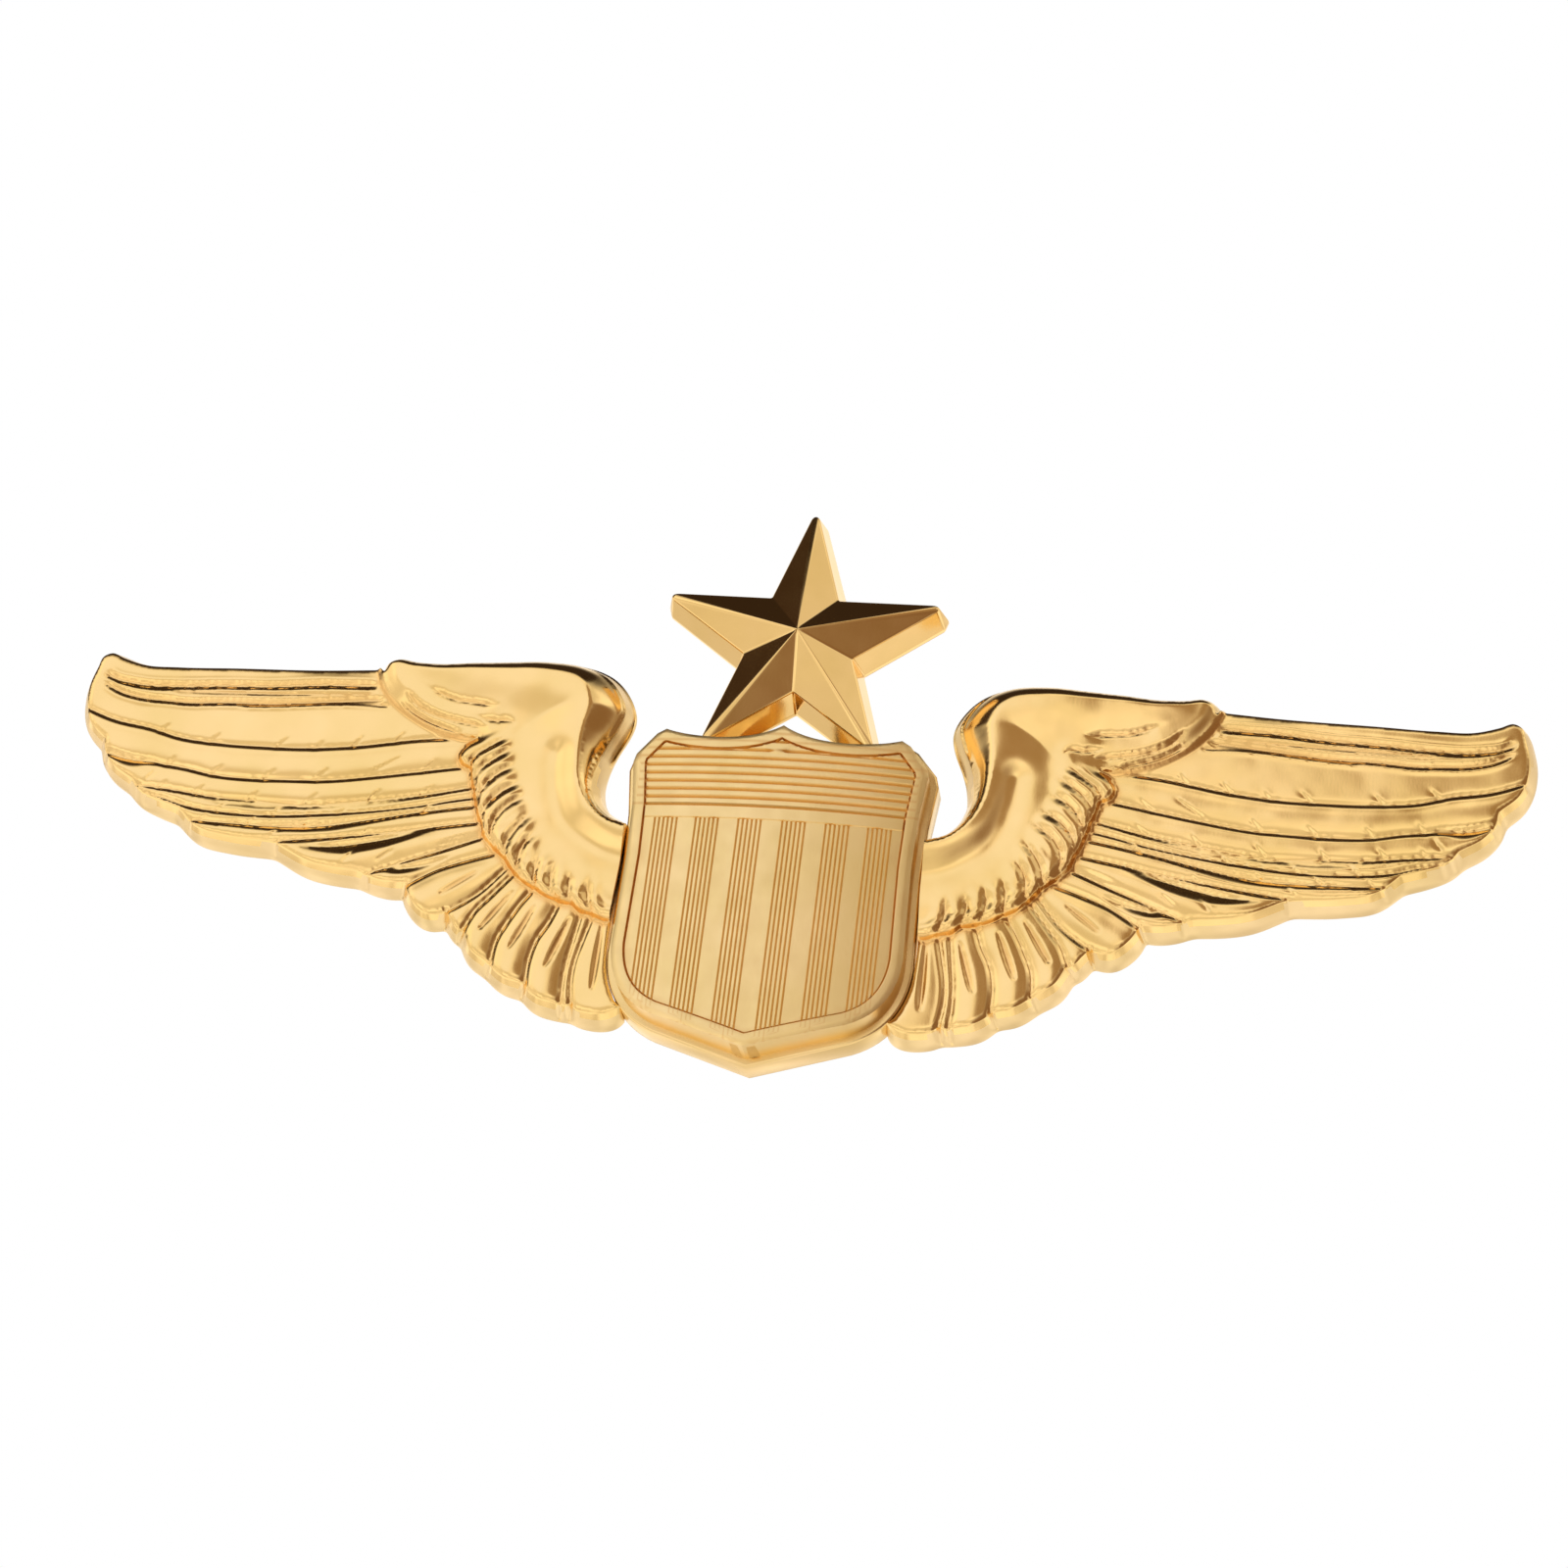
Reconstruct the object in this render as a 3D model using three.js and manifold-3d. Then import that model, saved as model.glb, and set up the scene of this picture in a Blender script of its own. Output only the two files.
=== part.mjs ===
// Pilot wings pin: two wings, a faceted star and a shield in gilt brass, with three pin posts on
// the back and a butterfly clutch on each post.
// Millimetres, +Z up as worn, +X to the wearer's left. The front faces -Y. The origin is the centre
// of the shield's back, and everything that touches the cloth lies in the plane y = 0.
import * as THREE from "three";
import { mergeVertices } from "three/addons/utils/BufferGeometryUtils.js";
import Module from "manifold-3d";

const wasm = await Module();
wasm.setup();

// Driving sizes ------------------------------------------------------------------------------

const SEAM = 0.05; // solder line between two fixed pieces

const SHIELD_HALF_WIDTH = 7.65;
const SHIELD_HEIGHT = 17.8; // lower point to the peak of the top edge
const SHIELD_FACE_THICK = 1.2; // at the side edges
const SHIELD_CROWN = 0.6; // how far the middle of the face stands proud of its sides
const SHIELD_RIM = 0.62;
const SHIELD_FIELD_DEPTH = 0.25;
const SHIELD_BAR = 0.65; // plain bar between the chief and the stripes
const BASE_THICK = 1.6;
const BASE_LEDGE = 0.4; // how far the base shows around the face

const WING_REACH = 30.0; // shield side to wing tip, along the front edge
const WING_THICK = 1.6; // feathers
const WING_LAND = 0.3; // square edge at the back, before the draft starts
const WING_DRAFT = 0.45; // how much wider the back is than the front, each side
const ARM_RISE = 0.8; // arm and coverts above the feathers
const ARM_BEVEL = 0.5;

const STAR_OUTER = 7.6;
const STAR_INNER = 3.0;
const STAR_WALL = 1.9; // height of the star's side wall
const STAR_RISE = 1.3; // wall top to the apex
const STAR_DRAFT = 0.4;
const STAR_LAP = 0.45; // star's lower points, below the shield's peak

const PEG_RADIUS = 0.7;
const PEG_HEAD_RADIUS = 1.1;
const PEG_HEAD_DEPTH = 0.5;
const PEG_ENTRY = 0.4; // depth of the peg's seat in the back of the face
const PEG_BELOW_TOP = 2.9; // upper peg, from the shield's peak
const PEG_ABOVE_FOOT = 2.1; // lower peg, from the shield's lower point

const POST_SIDE_X = 21.0;
const POST_SIDE_Z = 8.0;
const POST_BELOW_PEG = 3.4;
const POST_RADIUS = 0.55;
const POST_LENGTH = 9.0;
const POST_PAD_RADIUS = 1.7;
const POST_PAD_THICK = 0.4;
const POST_PAD_SEAT = 0.1; // depth of the round seat that the pad is soldered into
const POST_POINT = 1.3; // length of the cone
const POST_GROOVE_DEPTH = 0.12;
const POST_GROOVE_FROM_TIP = 2.0;

const CLOTH_GAP = 2.2; // back of the badge to the face of a clutch
const CLUTCH_RADIUS = 5.7;
const CLUTCH_SHEET = 0.35;
const CLUTCH_RIM = 0.95; // height of the rim
const BORE_GAP = 0.13; // eyelet's hole around the post
const EYELET_WALL = 0.42;
const EYELET_FLARE = 0.45;
const SPRING_SHEET = 0.25;
const SPRING_INSET = 2.4; // fold of each ear, in from the cup's edge
const SPRING_CORNER_GAP = 0.7; // spring's corners to the inside of the rim
const EAR_ANGLE = 30; // degrees, leaf above the seat
const EAR_TRAVEL = 12; // degrees, from gripping to pinched
const EAR_BEND_PAST_SLOT = 0.45;
const EAR_TAB_ANGLE = 62;
const EAR_TAB_LENGTH = 4.0;
const JAW_GAP = 0.04; // clearance that stands for the jaw's grip on the post
const JAW_RAIL = 0.8;
const EAR_SIDE_GAP = 0.15; // between the narrow ear and the window it passes through

// Materials ----------------------------------------------------------------------------------

const gold = () => new THREE.MeshStandardMaterial({ color: 0xe6c073, roughness: 0.16, metalness: 1 });
const satin = () => new THREE.MeshStandardMaterial({ color: 0xe8cc8c, roughness: 0.42, metalness: 1 });
const brass = () => new THREE.MeshStandardMaterial({ color: 0xcaa45a, roughness: 0.3, metalness: 1 });

// Solids -------------------------------------------------------------------------------------

function solid(geometry) {
  const bare = geometry.index ? geometry.toNonIndexed() : geometry.clone();
  bare.deleteAttribute("normal");
  bare.deleteAttribute("uv");
  const merged = mergeVertices(bare, 1e-4);
  const index = merged.index.array;
  const faces = [];
  for (let i = 0; i < index.length; i += 3) {
    const [a, b, c] = [index[i], index[i + 1], index[i + 2]];
    if (a !== b && b !== c && c !== a) faces.push(a, b, c);
  }
  return new wasm.Manifold(new wasm.Mesh({
    numProp: 3,
    vertProperties: new Float32Array(merged.attributes.position.array),
    triVerts: new Uint32Array(faces),
  }));
}

function geometryOf(manifold) {
  const mesh = manifold.getMesh();
  const geometry = new THREE.BufferGeometry();
  geometry.setAttribute("position", new THREE.BufferAttribute(new Float32Array(mesh.vertProperties), 3));
  geometry.setIndex(new THREE.BufferAttribute(new Uint32Array(mesh.triVerts), 1));
  geometry.computeVertexNormals();
  return geometry;
}

function named(name, manifold, material) {
  const mesh = new THREE.Mesh(geometryOf(manifold), material);
  mesh.name = name;
  return mesh;
}

// An outline drawn in X and Z, standing from y = back forward to y = back - depth.
function plate(shape, depth, back = 0, curveSegments = 3) {
  const geometry = new THREE.ExtrudeGeometry(shape, { depth, bevelEnabled: false, curveSegments });
  geometry.rotateX(Math.PI / 2);
  geometry.translate(0, back, 0);
  return solid(geometry);
}

// The same, with a wall that leans in by draft from a square land at the middle, both ways.
function draftedBlank(shape, thick, land, draft, curveSegments = 3) {
  const geometry = new THREE.ExtrudeGeometry(shape, {
    depth: land * 2,
    bevelEnabled: true,
    bevelThickness: thick - land,
    bevelSize: draft,
    bevelSegments: 1,
    curveSegments,
  });
  geometry.rotateX(Math.PI / 2);
  geometry.translate(0, land, 0);
  return solid(geometry);
}

// Its front half: a flat back at y = 0.
const draftedPlate = (...sizes) => draftedBlank(...sizes).subtract(halfSpaceBehind(0));

function box(x, y, z, centre) {
  const geometry = new THREE.BoxGeometry(x, y, z);
  geometry.translate(...centre);
  return solid(geometry);
}

const halfSpaceBehind = (y) => box(120, 20, 120, [0, y + 10, 0]);

// A turned piece: [radius, y] pairs around an axis along Y.
function turned(profile, segments, x, z) {
  const points = profile.map(([radius, y]) => new THREE.Vector2(radius, y));
  const geometry = new THREE.LatheGeometry(points, segments);
  geometry.translate(x, 0, z);
  const shape = solid(geometry);
  return shape.volume() < 0 ? solid(flip(geometry)) : shape;
}

function flip(geometry) {
  const flipped = geometry.toNonIndexed();
  const position = flipped.attributes.position;
  for (let i = 0; i < position.count; i += 3) {
    const a = new THREE.Vector3().fromBufferAttribute(position, i);
    const b = new THREE.Vector3().fromBufferAttribute(position, i + 1);
    position.setXYZ(i, b.x, b.y, b.z);
    position.setXYZ(i + 1, a.x, a.y, a.z);
  }
  return flipped;
}

// A closed outline pushed out by a distance, or in by a negative one.
function grown(points, distance) {
  const clockwise = THREE.ShapeUtils.isClockWise(points);
  const side = clockwise ? -1 : 1;
  return points.map((point, i) => {
    const before = points[(i + points.length - 1) % points.length];
    const after = points[(i + 1) % points.length];
    const arriving = point.clone().sub(before).normalize();
    const leaving = after.clone().sub(point).normalize();
    const normalIn = new THREE.Vector2(arriving.y, -arriving.x).multiplyScalar(side);
    const normalOut = new THREE.Vector2(leaving.y, -leaving.x).multiplyScalar(side);
    const mitre = normalIn.clone().add(normalOut).normalize();
    return point.clone().addScaledVector(mitre, distance / Math.max(0.25, mitre.dot(normalIn)));
  });
}

// Shield -------------------------------------------------------------------------------------

// Outline heights run from the lower point (0) to the peak of the top edge (1).
const shieldZ = (share) => SHIELD_HEIGHT * (share - 0.475);
const shieldX = (share) => SHIELD_HALF_WIDTH * share;
const SHIELD_TOP = shieldZ(1);
const SHIELD_FOOT = shieldZ(0);
const PEG_UPPER_Z = SHIELD_TOP - PEG_BELOW_TOP;
const PEG_LOWER_Z = SHIELD_FOOT + PEG_ABOVE_FOOT;
const POST_CENTRE_Z = PEG_UPPER_Z - POST_BELOW_PEG;

function shieldOutline() {
  const right = new THREE.Shape();
  right.moveTo(0, shieldZ(1));
  right.quadraticCurveTo(shieldX(0.16), shieldZ(0.955), shieldX(0.44), shieldZ(0.955));
  right.quadraticCurveTo(shieldX(0.66), shieldZ(0.958), shieldX(0.8), shieldZ(0.98));
  right.lineTo(shieldX(0.86), shieldZ(0.965));
  right.lineTo(shieldX(0.985), shieldZ(0.9));
  right.lineTo(shieldX(1), shieldZ(0.875));
  right.lineTo(shieldX(0.965), shieldZ(0.74));
  right.lineTo(shieldX(0.955), shieldZ(0.58));
  right.lineTo(shieldX(0.97), shieldZ(0.3));
  right.quadraticCurveTo(shieldX(0.95), shieldZ(0.14), shieldX(0.64), shieldZ(0.087));
  right.lineTo(0, shieldZ(0));
  const half = right.getPoints(4);
  const other = half.slice(1, -1).reverse().map((p) => new THREE.Vector2(-p.x, p.y));
  return [...half, ...other];
}

const facePoints = shieldOutline();
const basePoints = grown(facePoints, BASE_LEDGE);
const seatPoints = grown(facePoints, BASE_LEDGE + SEAM);

// The face bows forward about an upright axis.
const crownRadius = (SHIELD_HALF_WIDTH ** 2 + SHIELD_CROWN ** 2) / (2 * SHIELD_CROWN);
const faceFront = -BASE_THICK - SHIELD_FACE_THICK - SHIELD_CROWN;

function crownDrum(sunk) {
  const drum = new THREE.CylinderGeometry(crownRadius - sunk, crownRadius - sunk, SHIELD_HEIGHT * 2, 128);
  drum.rotateX(Math.PI / 2);
  drum.translate(0, faceFront + crownRadius, 0);
  return solid(drum);
}

const chiefFoot = shieldZ(0.735);
const innerPoints = grown(facePoints, -SHIELD_RIM);

function shieldFace() {
  const depth = SHIELD_FACE_THICK + SHIELD_CROWN + 1;
  const blank = plate(new THREE.Shape(facePoints), depth, -BASE_THICK).intersect(crownDrum(0));
  const wide = SHIELD_HALF_WIDTH * 2;
  const bar = box(wide, 20, SHIELD_BAR, [0, -BASE_THICK, chiefFoot - SHIELD_BAR / 2]);
  const field = plate(new THREE.Shape(innerPoints), depth, -BASE_THICK)
    .subtract(crownDrum(SHIELD_FIELD_DEPTH))
    .subtract(bar);
  return blank.subtract(field).subtract(pegHoles());
}

function shieldBase() {
  const blank = plate(new THREE.Shape(basePoints), BASE_THICK);
  const notches = draftedBlank(starShape(SEAM), STAR_WALL, WING_LAND, STAR_DRAFT);
  return blank.subtract(pegHoles()).subtract(notches).subtract(padSeat(0, POST_CENTRE_Z));
}

function pegProfile(gap, end = 0) {
  return [
    [0, -BASE_THICK - PEG_ENTRY - gap],
    [PEG_RADIUS + gap, -BASE_THICK - PEG_ENTRY - gap],
    [PEG_RADIUS + gap, -PEG_HEAD_DEPTH],
    [PEG_HEAD_RADIUS + gap, end],
    [0, end],
  ];
}

function pegHoles() {
  const upper = turned(pegProfile(SEAM, SEAM), 20, 0, PEG_UPPER_Z);
  const lower = turned(pegProfile(SEAM, SEAM), 20, 0, PEG_LOWER_Z);
  return upper.add(lower);
}

const shieldPeg = (z) => turned(pegProfile(0), 20, 0, z);

// Star ---------------------------------------------------------------------------------------

const starZ = SHIELD_TOP - STAR_LAP + STAR_OUTER * Math.cos(Math.PI / 5);

function starShape(spread = 0) {
  const shape = [];
  for (let i = 0; i < 10; i += 1) {
    const radius = i % 2 === 0 ? STAR_OUTER : STAR_INNER;
    const angle = Math.PI / 2 + (i * Math.PI) / 5;
    shape.push(new THREE.Vector2(radius * Math.cos(angle), starZ + radius * Math.sin(angle)));
  }
  return new THREE.Shape(spread ? grown(shape, spread) : shape);
}

function starBody() {
  const wall = draftedPlate(starShape(), STAR_WALL, WING_LAND, STAR_DRAFT);
  const top = new THREE.ExtrudeGeometry(starShape(), { depth: STAR_RISE, bevelEnabled: false });
  const position = top.attributes.position;
  for (let i = 0; i < position.count; i += 1) {
    if (position.getZ(i) > STAR_RISE / 2) position.setXY(i, 0, starZ);
  }
  top.rotateX(Math.PI / 2);
  top.translate(0, -STAR_WALL, 0);
  return wall.add(solid(top));
}

// Wings --------------------------------------------------------------------------------------

// Wing points are [outward from the shield's side, height above the origin].
const LEADING_EDGE = [
  [0.1, 3.95],
  [1.25, 4.4],
  [2.0, 5.3],
  [2.3, 6.4],
  [2.2, 7.6],
  [1.8, 8.9],
  [1.35, 9.9],
  [1.15, 10.7],
  [1.55, 11.7],
  [2.35, 12.6],
  [3.55, 13.1],
  [5.35, 13.2],
  [9.35, 12.8],
  [12.35, 12.7],
  [13.55, 12.9],
];
const FORE_EDGE = [
  [14.3, 12.25],
  [17.35, 12.05],
  [22.35, 11.9],
  [27.35, 11.8],
  [29.45, 12.4],
];
const WING_TIP = [
  [29.85, 11.5],
  [30.05, 10.5],
  [30.0, 9.5],
  [29.7, 8.5],
  [29.25, 7.1],
];
// Each trailing feather: where its rounded end bulges to, and the notch beyond it.
const TRAILING = [
  { bulge: [28.35, 5.6], notch: [26.7, 5.05] },
  { bulge: [25.35, 4.0], notch: [23.8, 3.55] },
  { bulge: [22.75, 2.2], notch: [18.25, 1.95] },
  { bulge: [16.75, 0.7], notch: [13.45, 0.6] },
  { bulge: [12.35, 0.1], notch: [11.25, 0.1] },
  { bulge: [10.65, -2.0], notch: [8.75, -1.4] },
  { bulge: [8.25, -2.1], notch: [7.75, -2.4] },
  { bulge: [7.45, -3.6], notch: [6.1, -4.1] },
  { bulge: [5.55, -4.8], notch: [4.2, -5.05] },
  { bulge: [3.75, -5.8], notch: [1.7, -5.95] },
  { bulge: [0.95, -6.5], notch: [-0.75, -6.0] },
];
// The root runs on under the shield, where the shield's base cuts it.
const ROOT_LAP = 2.2;
const ARM = [
  [-ROOT_LAP, 3.4],
  [1.5, 4.2],
  [2.55, 5.6],
  [2.6, 7.3],
  [1.95, 9.0],
  [1.75, 10.7],
  [2.4, 12.0],
  [3.6, 12.6],
  [5.35, 12.7],
  [9.35, 12.3],
  [12.3, 12.2],
  [13.7, 12.2],
  [14.0, 11.6],
  [13.4, 10.4],
  [11.2, 9.1],
  [9.3, 7.8],
  [8.55, 6.5],
  [8.4, 5.2],
  [7.85, 3.6],
  [6.95, 2.3],
  [6.05, 1.2],
  [4.95, 0.4],
  [3.75, -0.3],
  [2.55, -0.7],
  [1.45, -0.95],
  [0.15, -1.3],
  [-ROOT_LAP, -1.3],
];

function wing(side) {
  const at = ([outward, z]) => {
    const reach = outward > 0 ? (outward * WING_REACH) / 30 : outward;
    return new THREE.Vector2(side * (SHIELD_HALF_WIDTH + reach), z);
  };
  const outline = new THREE.Shape();
  const start = at([-ROOT_LAP, 3.95]);
  outline.moveTo(start.x, start.y);
  for (const run of [LEADING_EDGE, FORE_EDGE, WING_TIP]) {
    const first = at(run[0]);
    outline.lineTo(first.x, first.y);
    outline.splineThru(run.slice(1).map(at));
  }
  for (const { bulge, notch } of TRAILING) {
    const [through, end] = [at(bulge), at(notch)];
    outline.quadraticCurveTo(through.x, through.y, end.x, end.y);
  }
  const foot = at([-ROOT_LAP, -5.6]);
  outline.lineTo(foot.x, foot.y);

  const arm = new THREE.ExtrudeGeometry(new THREE.Shape(ARM.map(at)), {
    depth: WING_THICK + ARM_RISE - ARM_BEVEL,
    bevelEnabled: true,
    bevelThickness: ARM_BEVEL,
    bevelSize: ARM_BEVEL,
    bevelOffset: -ARM_BEVEL,
    bevelSegments: 1,
  });
  arm.rotateX(Math.PI / 2);
  const raised = solid(arm).subtract(halfSpaceBehind(-WING_LAND));
  const seat = plate(new THREE.Shape(seatPoints), 20, 5);
  return draftedPlate(outline, WING_THICK, WING_LAND, WING_DRAFT, 2)
    .add(raised)
    .subtract(seat)
    .subtract(padSeat(side * POST_SIDE_X, POST_SIDE_Z));
}

// Pin posts and butterfly clutches --------------------------------------------------------------

const padTop = POST_PAD_THICK - POST_PAD_SEAT;

function padSeat(x, z) {
  const radius = POST_PAD_RADIUS + SEAM;
  return turned([[0, -POST_PAD_SEAT], [radius, -POST_PAD_SEAT], [radius, 1], [0, 1]], 20, x, z);
}

function post(x, z) {
  const groove = POST_LENGTH - POST_GROOVE_FROM_TIP;
  return turned([
    [0, -POST_PAD_SEAT],
    [POST_PAD_RADIUS, -POST_PAD_SEAT],
    [POST_PAD_RADIUS, padTop],
    [POST_RADIUS, padTop],
    [POST_RADIUS, groove - 2 * POST_GROOVE_DEPTH],
    [POST_RADIUS - POST_GROOVE_DEPTH, groove - POST_GROOVE_DEPTH],
    [POST_RADIUS - POST_GROOVE_DEPTH, groove + POST_GROOVE_DEPTH],
    [POST_RADIUS, groove + 2 * POST_GROOVE_DEPTH],
    [POST_RADIUS, POST_LENGTH - POST_POINT],
    [0, POST_LENGTH],
  ], 20, x, z);
}

// The spring fits in the cup: each fold stands in from the edge, and the width is what is left.
const foldRadius = SPRING_SHEET;
const SPRING_HINGE = CLUTCH_RADIUS - SPRING_INSET;
const springReach = CLUTCH_RADIUS - CLUTCH_SHEET - SPRING_CORNER_GAP;
const SPRING_WIDTH = 2 * Math.sqrt(springReach ** 2 - (SPRING_HINGE + foldRadius) ** 2);
const CLUTCH_BORE = POST_RADIUS + BORE_GAP;
const EYELET_RADIUS = CLUTCH_BORE + EYELET_WALL;
const cupFloor = CLOTH_GAP + CLUTCH_SHEET;
const seatTop = cupFloor + SEAM + SPRING_SHEET;
const hingeY = cupFloor + SEAM + foldRadius;

function clutchCup(x, z) {
  const flareY = seatTop + SEAM;
  return turned([
    [CLUTCH_BORE, CLOTH_GAP],
    [CLUTCH_RADIUS - CLUTCH_SHEET, CLOTH_GAP],
    [CLUTCH_RADIUS, cupFloor],
    [CLUTCH_RADIUS, CLOTH_GAP + CLUTCH_RIM],
    [CLUTCH_RADIUS - CLUTCH_SHEET, CLOTH_GAP + CLUTCH_RIM],
    [CLUTCH_RADIUS - CLUTCH_SHEET, cupFloor],
    [EYELET_RADIUS, cupFloor],
    [EYELET_RADIUS, flareY],
    [EYELET_RADIUS + EYELET_FLARE, flareY + EYELET_FLARE / 3],
    [EYELET_RADIUS + EYELET_FLARE, flareY + EYELET_FLARE / 2],
    [CLUTCH_BORE, flareY + EYELET_FLARE / 2],
    [CLUTCH_BORE, CLOTH_GAP],
  ], 36, x, z);
}

function springSeat(x, z) {
  const half = SPRING_HINGE - foldRadius - SEAM;
  const strip = box(half * 2, SPRING_SHEET, SPRING_WIDTH, [x, seatTop - SPRING_SHEET / 2, z]);
  const hole = EYELET_RADIUS + SEAM;
  const drill = new THREE.CylinderGeometry(hole, hole, 2, 24);
  drill.translate(x, seatTop, z);
  return strip.subtract(solid(drill));
}

// One ear of the spring, in its own frame: the fold's axis along Z at the origin, the leaf
// rising towards +X.
const radians = THREE.MathUtils.degToRad;
const jawReach = (degrees, edge) => {
  const tilt = radians(degrees);
  const bite = POST_RADIUS / Math.cos(tilt) + (SPRING_SHEET / 2) * Math.tan(tilt) + JAW_GAP;
  return SPRING_HINGE / Math.cos(tilt) + edge * bite;
};
const slotStart = jawReach(EAR_ANGLE, -1);
const slotEnd = jawReach(EAR_ANGLE + EAR_TRAVEL + 1, 1);
const slotWidth = 2 * (POST_RADIUS + JAW_GAP);
const narrowWidth = slotWidth + 2 * JAW_RAIL;
const windowWidth = narrowWidth + 2 * EAR_SIDE_GAP;

function ear(narrow) {
  const tilt = radians(EAR_ANGLE);
  const along = (distance, off) => new THREE.Vector2(
    distance * Math.cos(tilt) - off * Math.sin(tilt),
    distance * Math.sin(tilt) + off * Math.cos(tilt),
  );
  const half = SPRING_SHEET / 2;
  const bend = slotEnd + EAR_BEND_PAST_SLOT;
  const tab = radians(EAR_TAB_ANGLE);
  const knee = along(bend, 0);
  const mitre = half * Math.tan((tab - tilt) / 2);
  const tip = (off) => new THREE.Vector2(
    knee.x + EAR_TAB_LENGTH * Math.cos(tab) - off * Math.sin(tab),
    knee.y + EAR_TAB_LENGTH * Math.sin(tab) + off * Math.cos(tab),
  );
  const profile = new THREE.Shape([
    along(0, -half),
    along(bend + mitre, -half),
    tip(-half),
    tip(half),
    along(bend - mitre, half),
    along(0, half),
  ]);
  const sheet = new THREE.ExtrudeGeometry(profile, { depth: SPRING_WIDTH, bevelEnabled: false });
  sheet.translate(0, 0, -SPRING_WIDTH / 2);
  const fold = new THREE.CylinderGeometry(foldRadius, foldRadius, SPRING_WIDTH, 12);
  fold.rotateX(Math.PI / 2);

  const slot = (start, end, from, to) => {
    const block = new THREE.BoxGeometry(end - start, 1.5, to - from);
    block.translate((start + end) / 2, 0, (from + to) / 2);
    block.rotateZ(tilt);
    return solid(block);
  };
  const opening = (narrow ? slotWidth : windowWidth) / 2;
  let leaf = solid(sheet).add(solid(fold)).subtract(slot(slotStart, slotEnd, -opening, opening));
  if (narrow) {
    const edge = narrowWidth / 2;
    leaf = leaf.subtract(slot(slotStart - JAW_RAIL, slotEnd + JAW_GAP, edge, SPRING_WIDTH));
    leaf = leaf.subtract(slot(slotStart - JAW_RAIL, slotEnd + JAW_GAP, -SPRING_WIDTH, -edge));
  }
  return leaf.intersect(earOutline());
}

// The tab's rounded end, seen along X.
function earOutline() {
  const top = (slotEnd + EAR_BEND_PAST_SLOT) * Math.sin(radians(EAR_ANGLE))
    + EAR_TAB_LENGTH * Math.sin(radians(EAR_TAB_ANGLE));
  const half = SPRING_WIDTH / 2;
  const outline = new THREE.Shape();
  outline.moveTo(-half, -1);
  outline.lineTo(half, -1);
  outline.lineTo(half, top - half * 0.9);
  outline.quadraticCurveTo(half, top, 0, top);
  outline.quadraticCurveTo(-half, top, -half, top - half * 0.9);
  outline.closePath();
  const geometry = new THREE.ExtrudeGeometry(outline, { depth: 40, bevelEnabled: false, curveSegments: 6 });
  geometry.translate(0, 0, -20);
  geometry.rotateY(Math.PI / 2);
  return solid(geometry);
}

function clutch(name, x, z) {
  const group = new THREE.Group();
  group.add(named(`cup_${name}`, clutchCup(x, z), brass()));
  group.add(named(`spring_seat_${name}`, springSeat(x, z), brass()));
  const wide = named(`ear_wide_${name}`, ear(false), brass());
  wide.position.set(x - SPRING_HINGE, hingeY, z);
  const narrow = named(`ear_narrow_${name}`, ear(true), brass());
  narrow.position.set(x + SPRING_HINGE, hingeY, z);
  narrow.rotation.y = Math.PI;
  group.add(wide, narrow);
  return group;
}

// The pin ----------------------------------------------------------------------------------------

const pin = new THREE.Group();
pin.add(named("wing_left", wing(-1), gold()));
pin.add(named("wing_right", wing(1), gold()));
pin.add(named("star", starBody(), gold()));
pin.add(named("shield_base", shieldBase(), gold()));
pin.add(named("shield_face", shieldFace(), satin()));
pin.add(named("shield_peg_upper", shieldPeg(PEG_UPPER_Z), brass()));
pin.add(named("shield_peg_lower", shieldPeg(PEG_LOWER_Z), brass()));

const places = [
  ["left", -POST_SIDE_X, POST_SIDE_Z],
  ["centre", 0, POST_CENTRE_Z],
  ["right", POST_SIDE_X, POST_SIDE_Z],
];
for (const [name, x, z] of places) {
  pin.add(named(`post_${name}`, post(x, z), brass()));
  pin.add(clutch(name, x, z));
}

export default pin;
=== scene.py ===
import math

import bpy
import bmesh
import numpy as np
from mathutils import Matrix, Vector, geometry


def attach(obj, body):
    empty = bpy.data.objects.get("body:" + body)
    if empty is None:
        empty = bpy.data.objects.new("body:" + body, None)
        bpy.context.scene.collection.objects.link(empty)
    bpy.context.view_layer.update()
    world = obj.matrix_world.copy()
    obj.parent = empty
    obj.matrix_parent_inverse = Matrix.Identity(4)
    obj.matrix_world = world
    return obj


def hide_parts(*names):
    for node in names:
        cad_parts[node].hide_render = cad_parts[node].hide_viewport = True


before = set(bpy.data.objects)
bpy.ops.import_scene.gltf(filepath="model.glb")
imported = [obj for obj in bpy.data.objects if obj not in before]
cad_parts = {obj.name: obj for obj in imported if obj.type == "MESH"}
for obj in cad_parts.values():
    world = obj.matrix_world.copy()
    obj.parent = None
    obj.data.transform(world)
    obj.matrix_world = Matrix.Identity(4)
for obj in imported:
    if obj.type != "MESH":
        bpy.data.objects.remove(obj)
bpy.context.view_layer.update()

# Shield base ------------------------------------------------------------------------------------
# The plate that carries the whole pin: struck brass, gilt, cut to the shield's shape and a little
# larger than the face in front of it. It is notched for the star's two lower points, drilled for
# two pegs, and has a shallow round seat on the back for the middle post.

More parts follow.
